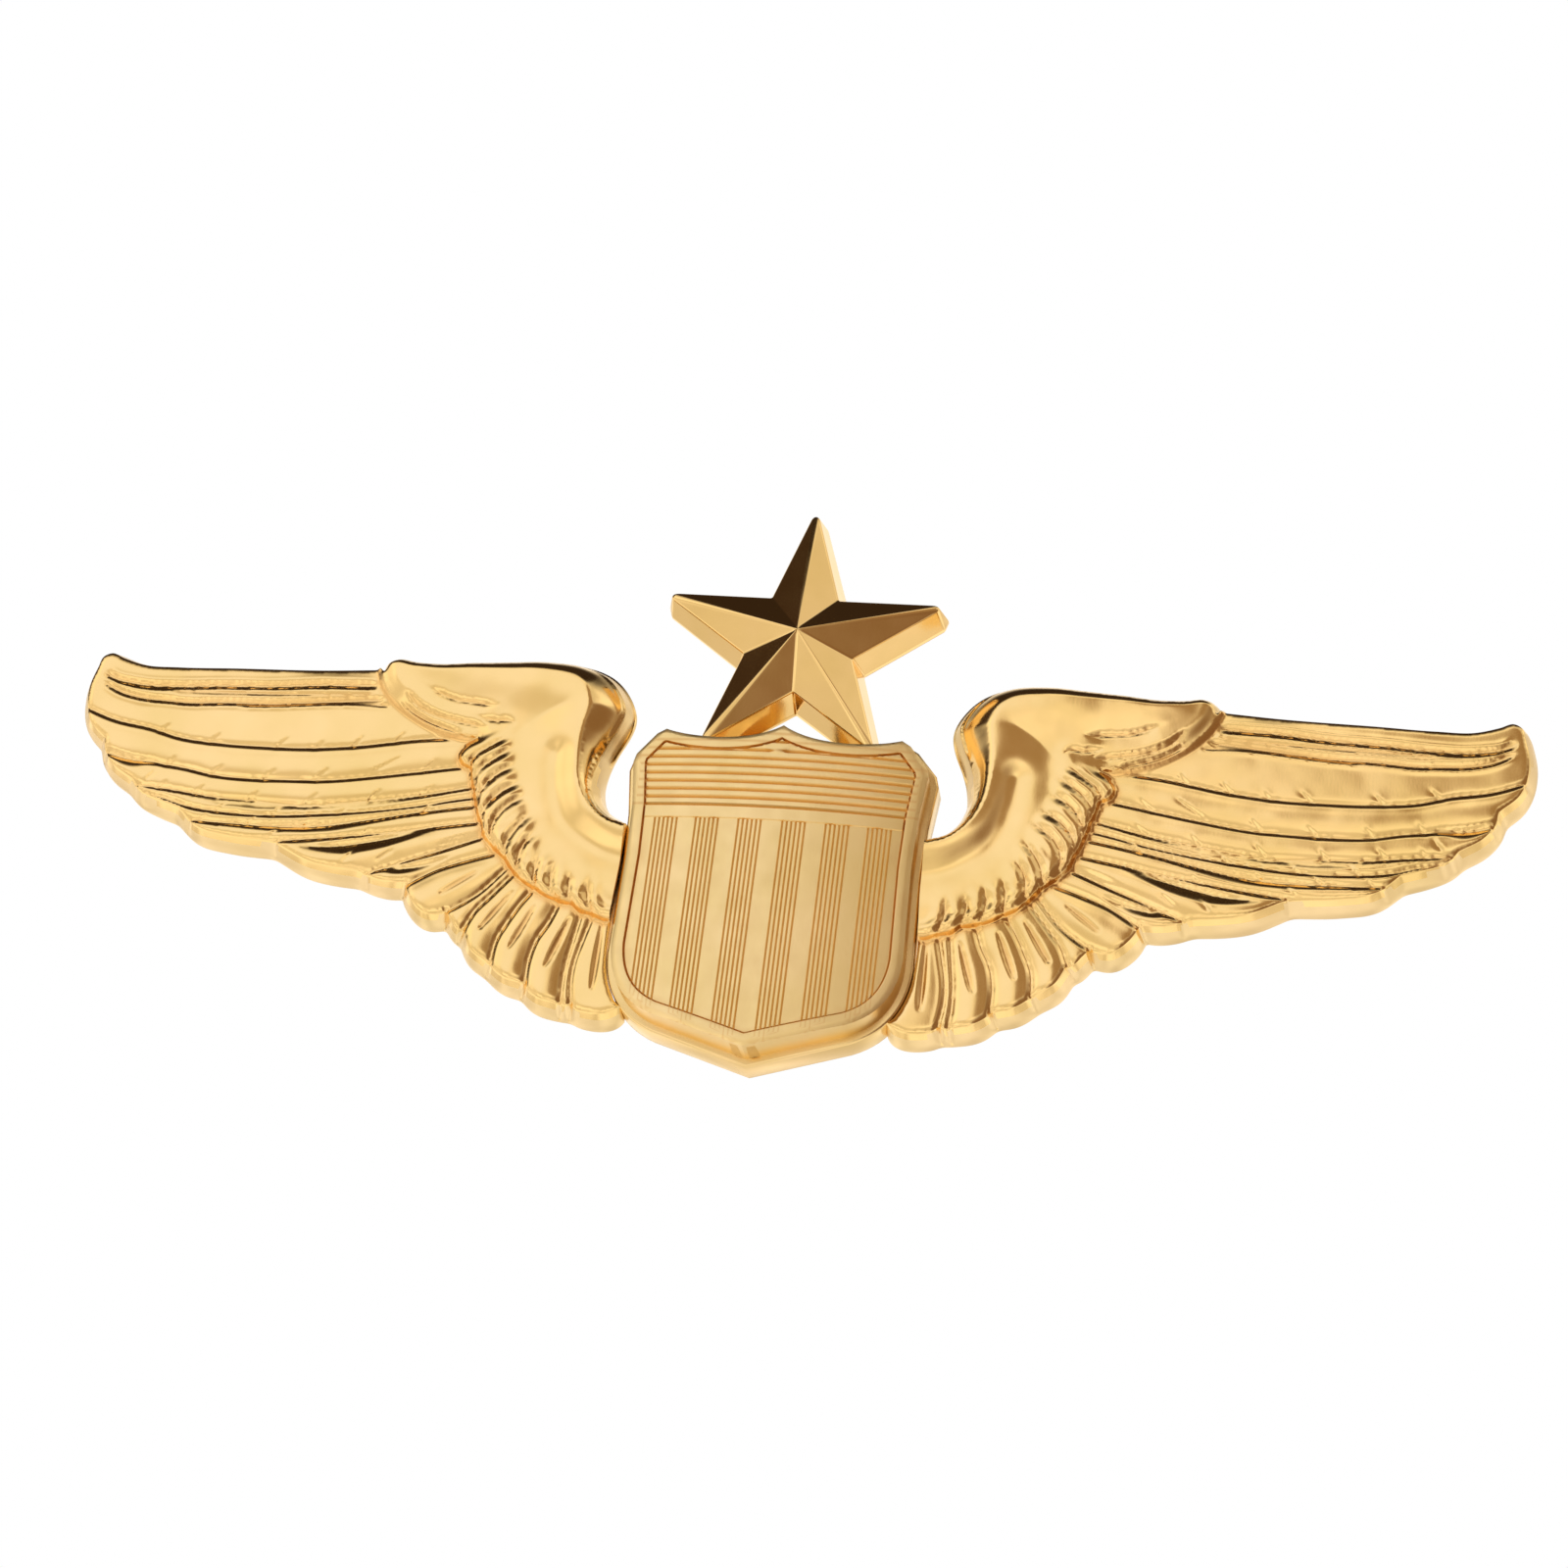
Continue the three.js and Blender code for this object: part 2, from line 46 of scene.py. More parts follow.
MM = 0.001
SHIELD_HALF_WIDTH = 7.65
SHIELD_HEIGHT = 17.8
BASE_THICK = 1.6
BASE_LEDGE = 0.4
SEAM = 0.05
PEG_HEIGHTS = (6.445, -6.355)
PEG_RADIUS = 0.7
PEG_HEAD = (1.1, 0.5)
PEG_ENTRY = 0.4
POST_PLACES = {"left": (-21.0, 8.0), "centre": (0.0, 3.045), "right": (21.0, 8.0)}
PAD_RADIUS = 1.7
PAD_SEAT = 0.1
STAR_OUTER = 7.6
STAR_INNER = 3.0
STAR_HEIGHT = 15.044
STAR_WALL = 1.9
STAR_LEAN = 0.4


def shield_height(share):
    return SHIELD_HEIGHT * (share - 0.475)


def curve_through(start, handle, end, steps=14):
    t = np.linspace(0, 1, steps + 1)[:, None]
    start, handle, end = map(np.array, (start, handle, end))
    return (1 - t) ** 2 * start + 2 * t * (1 - t) * handle + t * t * end


def shield_edge():
    """The face's outline, anticlockwise from the front, in millimetres."""
    runs = [
        curve_through((0, 1), (0.16, 0.955), (0.44, 0.955)),
        curve_through((0.44, 0.955), (0.66, 0.958), (0.8, 0.98))[1:],
        np.array([(0.86, 0.965), (0.985, 0.9), (1, 0.875), (0.965, 0.74), (0.955, 0.58), (0.97, 0.3)]),
        curve_through((0.97, 0.3), (0.95, 0.14), (0.64, 0.087))[1:],
        np.array([(0, 0)]),
    ]
    half = np.concatenate(runs)
    half = np.column_stack([half[:, 0] * SHIELD_HALF_WIDTH, shield_height(half[:, 1])])
    other = half[1:-1][::-1] * (-1, 1)
    return np.concatenate([half, other])[::-1]


def closed(loop):
    return np.concatenate([loop, loop[:1]])


def spread(outline, distance):
    """An anticlockwise outline pushed out by a distance, or in by a negative one."""
    arriving = outline - np.roll(outline, 1, axis=0)
    leaving = np.roll(outline, -1, axis=0) - outline
    arriving /= np.linalg.norm(arriving, axis=1)[:, None]
    leaving /= np.linalg.norm(leaving, axis=1)[:, None]
    normal_in = np.column_stack([arriving[:, 1], -arriving[:, 0]])
    normal_out = np.column_stack([leaving[:, 1], -leaving[:, 0]])
    mitre = normal_in + normal_out
    mitre /= np.linalg.norm(mitre, axis=1)[:, None]
    reach = distance / np.maximum(0.4, (mitre * normal_in).sum(axis=1))
    return outline + mitre * reach[:, None]


def clear_selection():
    if bpy.context.object and bpy.context.object.mode != "OBJECT":
        bpy.ops.object.mode_set(mode="OBJECT")
    bpy.ops.object.select_all(action="DESELECT")


def only(obj):
    clear_selection()
    obj.select_set(True)
    bpy.context.view_layer.objects.active = obj
    return obj


def cut_blank(name, outline, front, back):
    """A flat blank: a filled ring set to the outline, then extruded from back to front along Y."""
    clear_selection()
    bpy.ops.mesh.primitive_circle_add(vertices=len(outline), radius=MM, fill_type="NGON")
    blank = bpy.context.object
    blank.name = blank.data.name = name
    for vertex, (x, z) in zip(blank.data.vertices, outline):
        vertex.co = (x * MM, back * MM, z * MM)
    bpy.ops.object.mode_set(mode="EDIT")
    bpy.ops.mesh.select_all(action="SELECT")
    bpy.ops.mesh.extrude_region_move(
        TRANSFORM_OT_translate={"value": (0, (front - back) * MM, 0)}
    )
    bpy.ops.mesh.select_all(action="SELECT")
    bpy.ops.mesh.normals_make_consistent(inside=False)
    bpy.ops.object.mode_set(mode="OBJECT")
    return blank


def turned(name, profile, x, z, segments=96):
    """A turned piece: (radius, y) pairs spun round an axis along Y, closed at both ends."""
    clear_selection()
    bpy.ops.mesh.primitive_circle_add(vertices=3, radius=MM)
    piece = bpy.context.object
    piece.name = piece.data.name = name
    points = [(x * MM + radius * MM, y * MM, z * MM) for radius, y in profile]
    piece.data.clear_geometry()
    piece.data.from_pydata(points, [(i, i + 1) for i in range(len(points) - 1)], [])
    bpy.ops.object.mode_set(mode="EDIT")
    bpy.ops.mesh.select_all(action="SELECT")
    bpy.ops.mesh.spin(
        steps=segments,
        angle=math.tau,
        center=(x * MM, 0, z * MM),
        axis=(0, 1, 0),
        use_auto_merge=False,
    )
    bpy.ops.mesh.select_all(action="SELECT")
    bpy.ops.mesh.remove_doubles(threshold=0.002 * MM)
    bpy.ops.mesh.normals_make_consistent(inside=False)
    bpy.ops.object.mode_set(mode="OBJECT")
    return piece


def modify(obj, kind, **settings):
    only(obj)
    modifier = obj.modifiers.new(kind.title(), kind)
    for key, value in settings.items():
        setattr(modifier, key, value)
    bpy.ops.object.modifier_apply(modifier=modifier.name)


def subtract(obj, cutter):
    modify(obj, "BOOLEAN", operation="DIFFERENCE", solver="EXACT", object=cutter)
    bpy.data.objects.remove(cutter, do_unlink=True)


def smooth(obj, degrees=30):
    only(obj)
    bpy.ops.object.shade_smooth_by_angle(angle=math.radians(degrees))


CLOUD_SCALE = 260
CLOUD_TINT = (0.93, 0.93, 0.82)
WIPE_SCALE = 900
RIPPLE_SCALE = 450
GRAIN_SCALE = 9000
HOLLOW_DULLING = 0.16


def gilt(name, colour, hollow_shade_colour, roughness, spread_of_roughness, wave, grain):
    """Gold plate over struck brass: a slow ripple left by the die, fine wiping marks, and painted shade
    in the hollows that the mesh attribute marks: a darker, warmer colour standing in for shade there,
    with a duller finish where the polish doesn't reach. The wave and grain are heights in millimetres;
    noise scales are counts per metre."""
    material = bpy.data.materials.new(name)
    material.use_nodes = True
    nodes, links = material.node_tree.nodes, material.node_tree.links
    shader = nodes["Principled BSDF"]
    shader.inputs["Metallic"].default_value = 1.0
    place = nodes.new("ShaderNodeTexCoord")

    def noise(scale, detail=2.0, stretch=(1, 1, 1)):
        mapping = nodes.new("ShaderNodeMapping")
        mapping.inputs["Scale"].default_value = stretch
        links.new(place.outputs["Object"], mapping.inputs["Vector"])
        texture = nodes.new("ShaderNodeTexNoise")
        texture.inputs["Scale"].default_value = scale
        texture.inputs["Detail"].default_value = detail
        links.new(mapping.outputs["Vector"], texture.inputs["Vector"])
        return texture.outputs["Fac"]

    def ramp(source, low, high, start=0.3, end=0.7):
        node = nodes.new("ShaderNodeMapRange")
        node.inputs["From Min"].default_value = start
        node.inputs["From Max"].default_value = end
        node.inputs["To Min"].default_value = low
        node.inputs["To Max"].default_value = high
        links.new(source, node.inputs["Value"])
        return node.outputs["Result"]

    hollow = nodes.new("ShaderNodeAttribute")
    hollow.attribute_name = "hollow_shade_and_dulling"
    cloud = noise(CLOUD_SCALE, 3)
    tone = nodes.new("ShaderNodeMix")
    tone.data_type = "RGBA"
    tone.inputs["A"].default_value = (*colour, 1)
    tone.inputs["B"].default_value = (*[c * w for c, w in zip(colour, CLOUD_TINT)], 1)
    links.new(ramp(cloud, 0, 1), tone.inputs["Factor"])
    # Painted shade: the base colour turns to the darker, warmer shade colour where the hollow attribute
    # rises.
    depth = nodes.new("ShaderNodeMix")
    depth.data_type = "RGBA"
    depth.inputs["B"].default_value = (*hollow_shade_colour, 1)
    links.new(hollow.outputs["Fac"], depth.inputs["Factor"])
    links.new(tone.outputs["Result"], depth.inputs["A"])
    links.new(depth.outputs["Result"], shader.inputs["Base Color"])

    dull = nodes.new("ShaderNodeMath")
    dull.operation = "MULTIPLY_ADD"
    dull.inputs[1].default_value = HOLLOW_DULLING
    links.new(hollow.outputs["Fac"], dull.inputs[0])
    wiped = ramp(noise(WIPE_SCALE, 4), roughness, roughness + spread_of_roughness)
    links.new(wiped, dull.inputs[2])
    links.new(dull.outputs["Value"], shader.inputs["Roughness"])

    ripple = nodes.new("ShaderNodeBump")
    ripple.inputs["Strength"].default_value = 1.0
    ripple.inputs["Distance"].default_value = wave * MM
    links.new(noise(RIPPLE_SCALE, 1), ripple.inputs["Height"])
    marks = nodes.new("ShaderNodeBump")
    marks.inputs["Strength"].default_value = 1.0
    marks.inputs["Distance"].default_value = grain * MM
    links.new(noise(GRAIN_SCALE, 3, (1, 1, 0.35)), marks.inputs["Height"])
    links.new(ripple.outputs["Normal"], marks.inputs["Normal"])
    links.new(marks.outputs["Normal"], shader.inputs["Normal"])
    return material


def finish_piece(obj, material, body, slot, *nodes):
    obj.data.materials.clear()
    obj.data.materials.append(material)
    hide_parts(*nodes)
    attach(obj, body)


def star_points(grow=0.0, tip_radius=0.0, steps=4, outer=STAR_OUTER):
    """The star's outline, pushed out by grow, each tip rounded to that radius."""
    turns = math.pi / 2 + np.arange(10) * math.pi / 5
    radii = np.where(np.arange(10) % 2 == 0, outer, STAR_INNER)
    points = np.column_stack([radii * np.cos(turns), radii * np.sin(turns)])
    points = spread(points, grow) if grow else points
    outline = []
    for i, point in enumerate(points):
        if i % 2 or not tip_radius:
            outline.append(point)
            continue
        along = point / np.linalg.norm(point)
        side = points[i - 1] - point
        half = math.acos(abs(side @ along) / np.linalg.norm(side))
        centre = point - along * tip_radius / math.sin(half)
        heading = math.atan2(along[1], along[0])
        for k in range(steps + 1):
            angle = heading + (math.pi / 2 - half) * (2 * k / steps - 1)
            outline.append(centre + tip_radius * np.array([math.cos(angle), math.sin(angle)]))
    return np.array(outline) + (0, STAR_HEIGHT)


BASE_GILT = gilt("base_gilt", (0.97, 0.71, 0.35), (0.8, 0.42, 0.14), 0.2, 0.08, 0.02, 0.0015)

base = cut_blank("shield_base_plate", spread(shield_edge(), BASE_LEDGE), -BASE_THICK, 0)
modify(base, "BEVEL", width=0.14 * MM, segments=3, limit_method="ANGLE", angle_limit=math.radians(60))
subtract(base, cut_blank("notch", star_points(STAR_LEAN + SEAM), -4, 3))
for z in PEG_HEIGHTS:
    hole = [
        (0, -4), (PEG_RADIUS + SEAM, -4), (PEG_RADIUS + SEAM, -PEG_HEAD[1]),
        (PEG_HEAD[0] + SEAM, SEAM), (PEG_HEAD[0] + SEAM, 1), (0, 1),
    ]
    subtract(base, turned("hole", hole, 0, z, 48))
seat = [(0, -PAD_SEAT), (PAD_RADIUS + SEAM, -PAD_SEAT), (PAD_RADIUS + SEAM, 1), (0, 1)]
subtract(base, turned("hole", seat, *POST_PLACES["centre"], 64))
smooth(base, 35)
finish_piece(base, BASE_GILT, "badge", "polished_gilt", "shield_base")

# Wings ------------------------------------------------------------------------------------------
# Each wing is one die-struck piece of brass, gilt and buffed: long overlapping primaries, a fan of
# short feathers at the root, a row of small coverts, the alula and a smooth rounded arm. It is
# soldered to the base's side. A die cuts such a relief, so it is built from its lines and heights.

WING_EDGE = [  # runs with a corner between them: x out from the centre, z up
    [(7.75, 3.95), (8.9, 4.4), (9.65, 5.3), (9.95, 6.4), (9.85, 7.6), (9.45, 8.9), (9.0, 9.9),
     (8.8, 10.7), (9.2, 11.7), (10.0, 12.6), (11.2, 13.1), (13.0, 13.2), (15.0, 13.0),
     (17.0, 12.8), (19.0, 12.65), (20.2, 12.75), (21.2, 12.9), (21.7, 12.7), (21.95, 12.25)],
    [(21.95, 12.25), (25, 12.05), (30, 11.9), (33, 11.8), (35, 11.85), (36.2, 12.2), (36.85, 12.45),
     (37.25, 12.25), (37.45, 11.6), (37.7, 10.5), (37.65, 9.5), (37.3, 8.5), (36.3, 7.5)],
    [(36.3, 7.5), (36.2, 6.9), (35.6, 6.0), (34.4, 5.2)],
    [(34.4, 5.2), (34.1, 4.8), (32.8, 4.1), (31.6, 3.7)],
    [(31.6, 3.7), (31.2, 3.3), (30.5, 2.7), (28.8, 2.3), (26.2, 2.1)],
    [(26.2, 2.1), (25.5, 1.7), (24.3, 1.1), (22.8, 0.8), (21.4, 0.7)],
    [(21.4, 0.7), (20.9, 0.45), (19.5, 0.2), (18.9, 0.25)],
    [(18.9, 0.25), (18.75, -0.2), (18.4, -0.8), (17.6, -1.45), (16.5, -1.3)],
    [(16.5, -1.3), (16.2, -1.7), (15.6, -2.3), (15.4, -2.3)],
    [(15.4, -2.3), (15.25, -2.7), (14.95, -3.3), (13.9, -4.0)],
    [(13.9, -4.0), (13.6, -4.3), (13.1, -4.7), (11.9, -5.0)],
    [(11.9, -5.0), (11.7, -5.3), (11.2, -5.7), (9.9, -6.0)],
    [(9.9, -6.0), (9.65, -6.05), (9.35, -5.95)],
    [(9.35, -5.95), (9.1, -6.2), (8.5, -6.35), (7.8, -6.4), (6.75, -6.05)],
]
FEATHER_LINES = [  # each from the shoulder out to the trailing edge, top of the wing first
    [(16.0, 8.75), (17.4, 8.6), (19.3, 8.4), (22.8, 7.8), (25.2, 7.55), (27.6, 7.5), (30, 7.55),
     (32.4, 7.8), (33.8, 8.2), (35.9, 8.6), (38.5, 9.6)],
    [(15.8, 7.1), (17.1, 6.9), (19.3, 6.5), (21.6, 6.1), (24, 5.75), (26.2, 5.65), (28.3, 5.6),
     (30, 5.7), (31.6, 6.0), (33.1, 6.2), (35.9, 6.6), (38.5, 7.5)],
    [(15.2, 5.95), (16.4, 5.75), (18.1, 5.35), (20.5, 4.9), (22.8, 4.55), (25.2, 4.3), (27.6, 4.35),
     (30, 4.45), (31.9, 4.7), (34.7, 5.0), (36.5, 5.4)],
    [(15.0, 5.4), (16.2, 5.2), (19.3, 4.5), (21.6, 4.1), (24, 3.8), (26.2, 3.6), (29, 3.6),
     (31.2, 3.85), (32.4, 4.2), (34.0, 4.55)],
    [(14.8, 4.9), (16.2, 4.7), (19.3, 4.1), (21.9, 3.6), (24.7, 3.1), (27.1, 3.0), (31.3, 3.1),
     (33.0, 3.3)],
    [(14.6, 4.0), (16.9, 3.6), (20, 3.0), (22.8, 2.55), (26.2, 2.1), (29, 1.6)],
    [(13.6, 3.6), (15.2, 3.0), (16.6, 2.4), (18.8, 1.5), (20.9, 0.6), (23, -0.4)],
    [(13.9, 2.3), (15.7, 1.7), (17.4, 1.0), (18.8, 0.1), (20.4, -1.1)],
    [(12.8, 2.6), (13.9, 1.1), (15.0, -0.2), (16.5, -1.3), (18.3, -2.5)],
    [(12.7, 1.8), (13.5, 0.8), (14.35, -0.3), (15.05, -1.2), (15.45, -2.1), (16.2, -3.6)],
    [(11.7, 1.2), (12.2, 0.2), (12.75, -0.65), (13.3, -1.75), (13.7, -2.7), (13.85, -4.0),
     (13.9, -5.4)],
    [(10.4, 0.7), (10.75, -0.45), (11.1, -1.5), (11.65, -2.65), (11.88, -3.75), (11.9, -5.0),
     (11.9, -6.6)],
    [(9.4, 0.2), (9.53, -1.1), (9.73, -2.5), (9.92, -3.95), (9.95, -5.1), (9.9, -6.0), (9.9, -7.6)],
    [(8.85, 0.0), (8.96, -1.15), (9.24, -2.4), (9.5, -3.6), (9.55, -4.7), (9.4, -5.95), (9.3, -7.6)],
]
LEADING_GROOVES = [  # width, depth, line
    (0.15, 0.15, [(37.15, 11.5), (36.45, 11.0), (35.5, 10.8), (34.4, 10.68), (33, 10.7), (30.4, 10.86),
                  (27.7, 10.97), (25.2, 11.2), (22.3, 11.3)]),
    (0.08, 0.06, [(33.4, 10.35), (31, 10.42), (28, 10.5), (25, 10.6), (22.2, 10.8)]),
    (0.12, 0.15, [(37.1, 10.9), (36.0, 10.25), (34.7, 9.93), (33.3, 9.84), (32, 9.78), (30.7, 9.87),
                  (27.6, 10.0), (24.5, 10.3), (21.8, 10.5)]),
    (0.08, 0.09, [(29.5, 9.72), (26.5, 9.93), (23.9, 10.15), (21.4, 10.17)]),
]
FULLER_SLOPE = 0.36
DEEP_FULLERS = [  # half width, line: the hollow flutes under the lower primaries
    (0.28, [(36.6, 6.8), (35.4, 6.3), (34.4, 6.1), (33.0, 6.0)]),
    (0.2, [(32.4, 4.25), (31, 4.0), (29.6, 3.92), (28.3, 3.9), (25.8, 3.9), (23, 4.1), (20.3, 4.5),
                  (18.2, 5.0), (16.4, 5.4)]),
    (0.24, [(29.4, 2.6), (26.3, 2.72), (23.7, 2.88), (21.5, 3.3), (18.3, 3.95)]),
    (0.36, [(24.6, 1.4), (22.6, 1.72), (20.6, 2.2), (17.6, 2.9)]),
    (0.24, [(20.6, 0.5), (18.9, 0.8), (17.4, 1.2), (16.4, 1.6)]),
    (0.14, [(17.8, 2.1), (16.5, 2.6), (15.0, 3.2)]),
]
BARB_NICKS = [
    ((22.9, 7.85), (22.4, 8.4)), ((27.0, 7.55), (26.4, 8.1)), ((30.6, 7.65), (30.1, 8.1)),
    ((33.4, 8.1), (32.9, 8.55)), ((20.7, 8.2), (20.2, 8.75)), ((24.9, 7.6), (24.5, 8.0)),
    ((21.6, 6.4), (20.2, 7.3)), ((24.6, 5.75), (24.0, 6.4)), ((27.4, 5.6), (26.8, 6.2)),
    ((30.2, 5.75), (29.7, 6.25)), ((32.7, 6.15), (32.3, 6.6)), ((19.0, 6.6), (18.3, 7.2)),
    ((24.9, 4.35), (24.3, 5.0)), ((28.0, 4.35), (27.5, 4.9)), ((30.9, 4.6), (30.4, 5.1)),
    ((21.6, 4.75), (21.0, 5.35)), ((18.9, 5.2), (18.2, 5.75)), ((32.9, 4.8), (32.5, 5.2)),
    ((23.1, 3.9), (22.6, 4.3)), ((26.6, 3.6), (26.1, 4.05)), ((29.6, 3.65), (29.1, 4.1)),
    ((21.9, 2.5), (21.2, 3.1)), ((24.8, 3.1), (24.3, 3.5)), ((27.8, 3.0), (27.3, 3.45)),
    ((20.5, 1.4), (19.8, 2.0)), ((18.6, 4.25), (18.0, 4.75)), ((22.3, 1.2), (21.8, 1.8)),
    ((26.5, 2.4), (25.9, 2.85)), ((30.3, 3.1), (29.9, 3.45)), ((33.6, 5.3), (33.2, 5.8)),
]
SLOTS = [  # half width, depth, from the root end to the tip end
    (0.13, 0.1, (13.2, -0.1), (14.6, -2.3)), (0.14, 0.11, (11.9, -0.8), (12.9, -3.25)),
    (0.14, 0.11, (10.0, -1.4), (10.9, -4.15)), (0.14, 0.12, (8.3, -1.5), (8.35, -5.15)),
    (0.1, 0.08, (15.1, 1.0), (16.9, -0.4)),
]
ALULA_EDGE = [(22.3, 12.7), (22.05, 12.25), (21.78, 11.44), (21.26, 10.7), (20.5, 10.06),
              (19.52, 9.45), (18.58, 9.02), (17.83, 8.75), (17.02, 8.56), (16.3, 8.5)]
COVERT_EDGE = [(16.2, 8.4), (16.86, 7.78), (17.05, 7.31), (16.79, 6.93), (16.41, 6.72), (16.2, 6.06),
               (15.95, 5.34), (15.74, 4.5), (15.38, 3.62), (15.09, 2.91), (14.59, 2.33), (13.88, 1.71),
               (13.25, 0.97), (12.66, 0.42), (12.16, 0.18), (11.54, -0.21), (11.0, -0.41),
               (10.47, -0.59), (10.05, -0.62), (9.49, -1.01), (8.96, -1.11), (8.42, -1.34), (7.4, -1.45)]
COVERT_HOOKS = [  # the curled outer edge of each covert, from the arm to its tip
    [(14.44, 8.57), (15.49, 7.84), (16.2, 7.3), (16.38, 6.95), (16.25, 6.6)],
    [(13.95, 8.05), (14.89, 7.37), (15.75, 6.6), (16.0, 6.1), (15.91, 5.5)],
    [(13.74, 6.98), (14.93, 6.23), (15.5, 5.46), (15.7, 4.7), (15.65, 4.3)],
    [(13.35, 6.04), (14.39, 5.36), (15.1, 4.58), (15.33, 3.8), (15.2, 3.2)],
    [(12.93, 5.28), (13.87, 4.66), (14.55, 3.83), (14.7, 3.05), (14.5, 2.4), (14.02, 1.88)],
    [(12.54, 4.4), (13.28, 3.46), (13.75, 2.64), (13.8, 1.86), (13.58, 1.34), (13.16, 0.95)],
    [(12.23, 3.3), (12.8, 2.48), (13.05, 1.8), (13.0, 1.05), (12.65, 0.5), (12.15, 0.25)],
    [(11.71, 2.22), (12.03, 1.42), (12.08, 0.68), (11.92, 0.15), (11.5, -0.16), (11.0, -0.35)],
    [(10.83, 1.77), (11.14, 0.92), (11.14, 0.17), (10.87, -0.33), (10.43, -0.53), (10.05, -0.55)],
    [(9.99, 1.27), (10.17, 0.54), (10.16, -0.1), (9.9, -0.68), (9.46, -0.95), (8.95, -1.03)],
    [(9.04, 1.05), (9.16, 0.27), (9.12, -0.38), (8.85, -0.97), (8.4, -1.27), (7.6, -1.35)],
]
COVERT_PITS = [(15.62, 7.27), (15.45, 6.28), (15.24, 5.1), (13.2, 2.7), (12.68, 1.4), (11.61, 0.86),
               (10.76, 0.69), (9.78, 0.48), (8.83, 0.1)]
ALULA_CUTS = [
    (0.07, 0.1, [(18.9, 11.05), (18.05, 10.67), (17.41, 10.5), (16.8, 10.45), (16.08, 10.35), (15.4, 10.29)]),
    (0.09, 0.14, [(20.3, 10.85), (19.74, 10.24), (18.88, 9.76), (17.96, 9.48), (16.97, 9.29), (15.8, 9.07)]),
    (0.09, 0.12, [(20.5, 10.3), (19.54, 9.6), (18.7, 9.22), (17.76, 8.87), (17.0, 8.65)]),
    (0.07, 0.1, [(16.2, 9.62), (15.24, 9.44), (14.64, 9.48), (14.3, 9.2)]),
]
CREST = [(18.5, 12.1), (15.6, 12.2), (13.5, 12.2), (12, 12.0), (11.0, 11.6), (10.48, 10.88), (10.61, 9.61),
         (10.67, 8.13), (10.58, 6.77), (10.24, 5.78), (9.59, 4.81), (8.43, 3.87), (7.3, 3.5)]
TROUGH = [(11.9, 7.6), (11.76, 6.12), (11.53, 5.24), (10.94, 3.93), (10, 3.09), (8.77, 2.39), (7.4, 2.0)]
ARM_BEVEL = [  # on the leading edge: x, z, width of the slope up to the arm's crest
    (7.75, 3.95, 0.25), (9.3, 4.9, 0.3), (9.8, 5.8, 0.45), (9.93, 6.8, 0.65), (9.7, 8.1, 1.0),
    (9.1, 9.6, 1.5), (8.85, 10.9, 1.75), (9.9, 12.5, 1.3), (11.2, 13.1, 0.95), (14.0, 13.1, 0.65),
    (17.0, 12.8, 0.45), (21.2, 12.9, 0.3), (21.95, 12.25, 0.2),
]
WING_FACE = 1.5
WING_LAND = 0.3
WING_DRAFT = 0.45
LONG_FEATHERS = 2
FEATHER_STEP, LONG_STEP = 0.17, 0.125
FEATHER_SWELL, LONG_SWELL = 0.08, 0.05
FEATHER_BEAD = 0.05
NICK_STEP = 0.075
ARM_HEIGHT, ARM_CREST, ARM_TROUGH = 2.0, 0.42, 0.2
ALULA_HEIGHT = 1.8
COVERT_STEP = 0.12
COVERT_GROOVE, COVERT_DOME = 0.06, 0.08
FAR = 9.0


def through(points, step):
    """A smooth line through the points, in steps of about that length."""
    points = np.array(points, float)
    chord = np.linalg.norm(np.diff(points, axis=0), axis=1)
    at = np.concatenate([[0], np.cumsum(chord)])
    slope = np.diff(points, axis=0) / chord[:, None]
    tangent = np.empty_like(points)
    tangent[0], tangent[-1] = slope[0], slope[-1]
    weight = (chord[1:] / (chord[1:] + chord[:-1]))[:, None]
    tangent[1:-1] = slope[:-1] * weight + slope[1:] * (1 - weight)
    fine = np.linspace(0, at[-1], max(2, int(round(at[-1] / step)) + 1))
    k = np.clip(np.searchsorted(at, fine, side="right") - 1, 0, len(chord) - 1)
    h = chord[k][:, None]
    t = ((fine - at[k]) / chord[k])[:, None]
    return (
        (2 * t**3 - 3 * t**2 + 1) * points[k] + (t**3 - 2 * t**2 + t) * h * tangent[k]
        + (3 * t**2 - 2 * t**3) * points[k + 1] + (t**3 - t**2) * h * tangent[k + 1]
    )


def nearest(points, line):
    """For each point: distance to the line, which side it is on (left is positive), and how far
    along the line its nearest point lies."""
    a, b = line[:-1], line[1:]
    along = b - a
    length = np.maximum(np.linalg.norm(along, axis=1), 1e-9)
    start = np.concatenate([[0], np.cumsum(length)[:-1]])
    distance, side, place = (np.empty(len(points)) for _ in range(3))
    for first in range(0, len(points), 8000):
        part = points[first:first + 8000]
        away = part[:, None] - a
        t = np.clip((away * along).sum(axis=2) / length**2, 0, 1)
        gap = away - t[..., None] * along
        d = np.hypot(gap[..., 0], gap[..., 1])
        best = d.argmin(axis=1)
        row = np.arange(len(part))
        cross = along[best, 0] * away[row, best, 1] - along[best, 1] * away[row, best, 0]
        distance[first:first + 8000] = d[row, best]
        side[first:first + 8000] = np.where(cross >= 0, 1, -1)
        place[first:first + 8000] = start[best] + t[row, best] * length[best]
    return distance, side, place


def close_to(points, line, reach=1.2):
    """The same, worked out only for points near the line: the rest count as 9 mm away."""
    low, high = line.min(axis=0) - reach, line.max(axis=0) + reach
    here = ((points > low) & (points < high)).all(axis=1)
    distance, side, place = np.full(len(points), FAR), np.ones(len(points)), np.zeros(len(points))
    if here.any():
        distance[here], side[here], place[here] = nearest(points[here], line)
    return distance, side, place


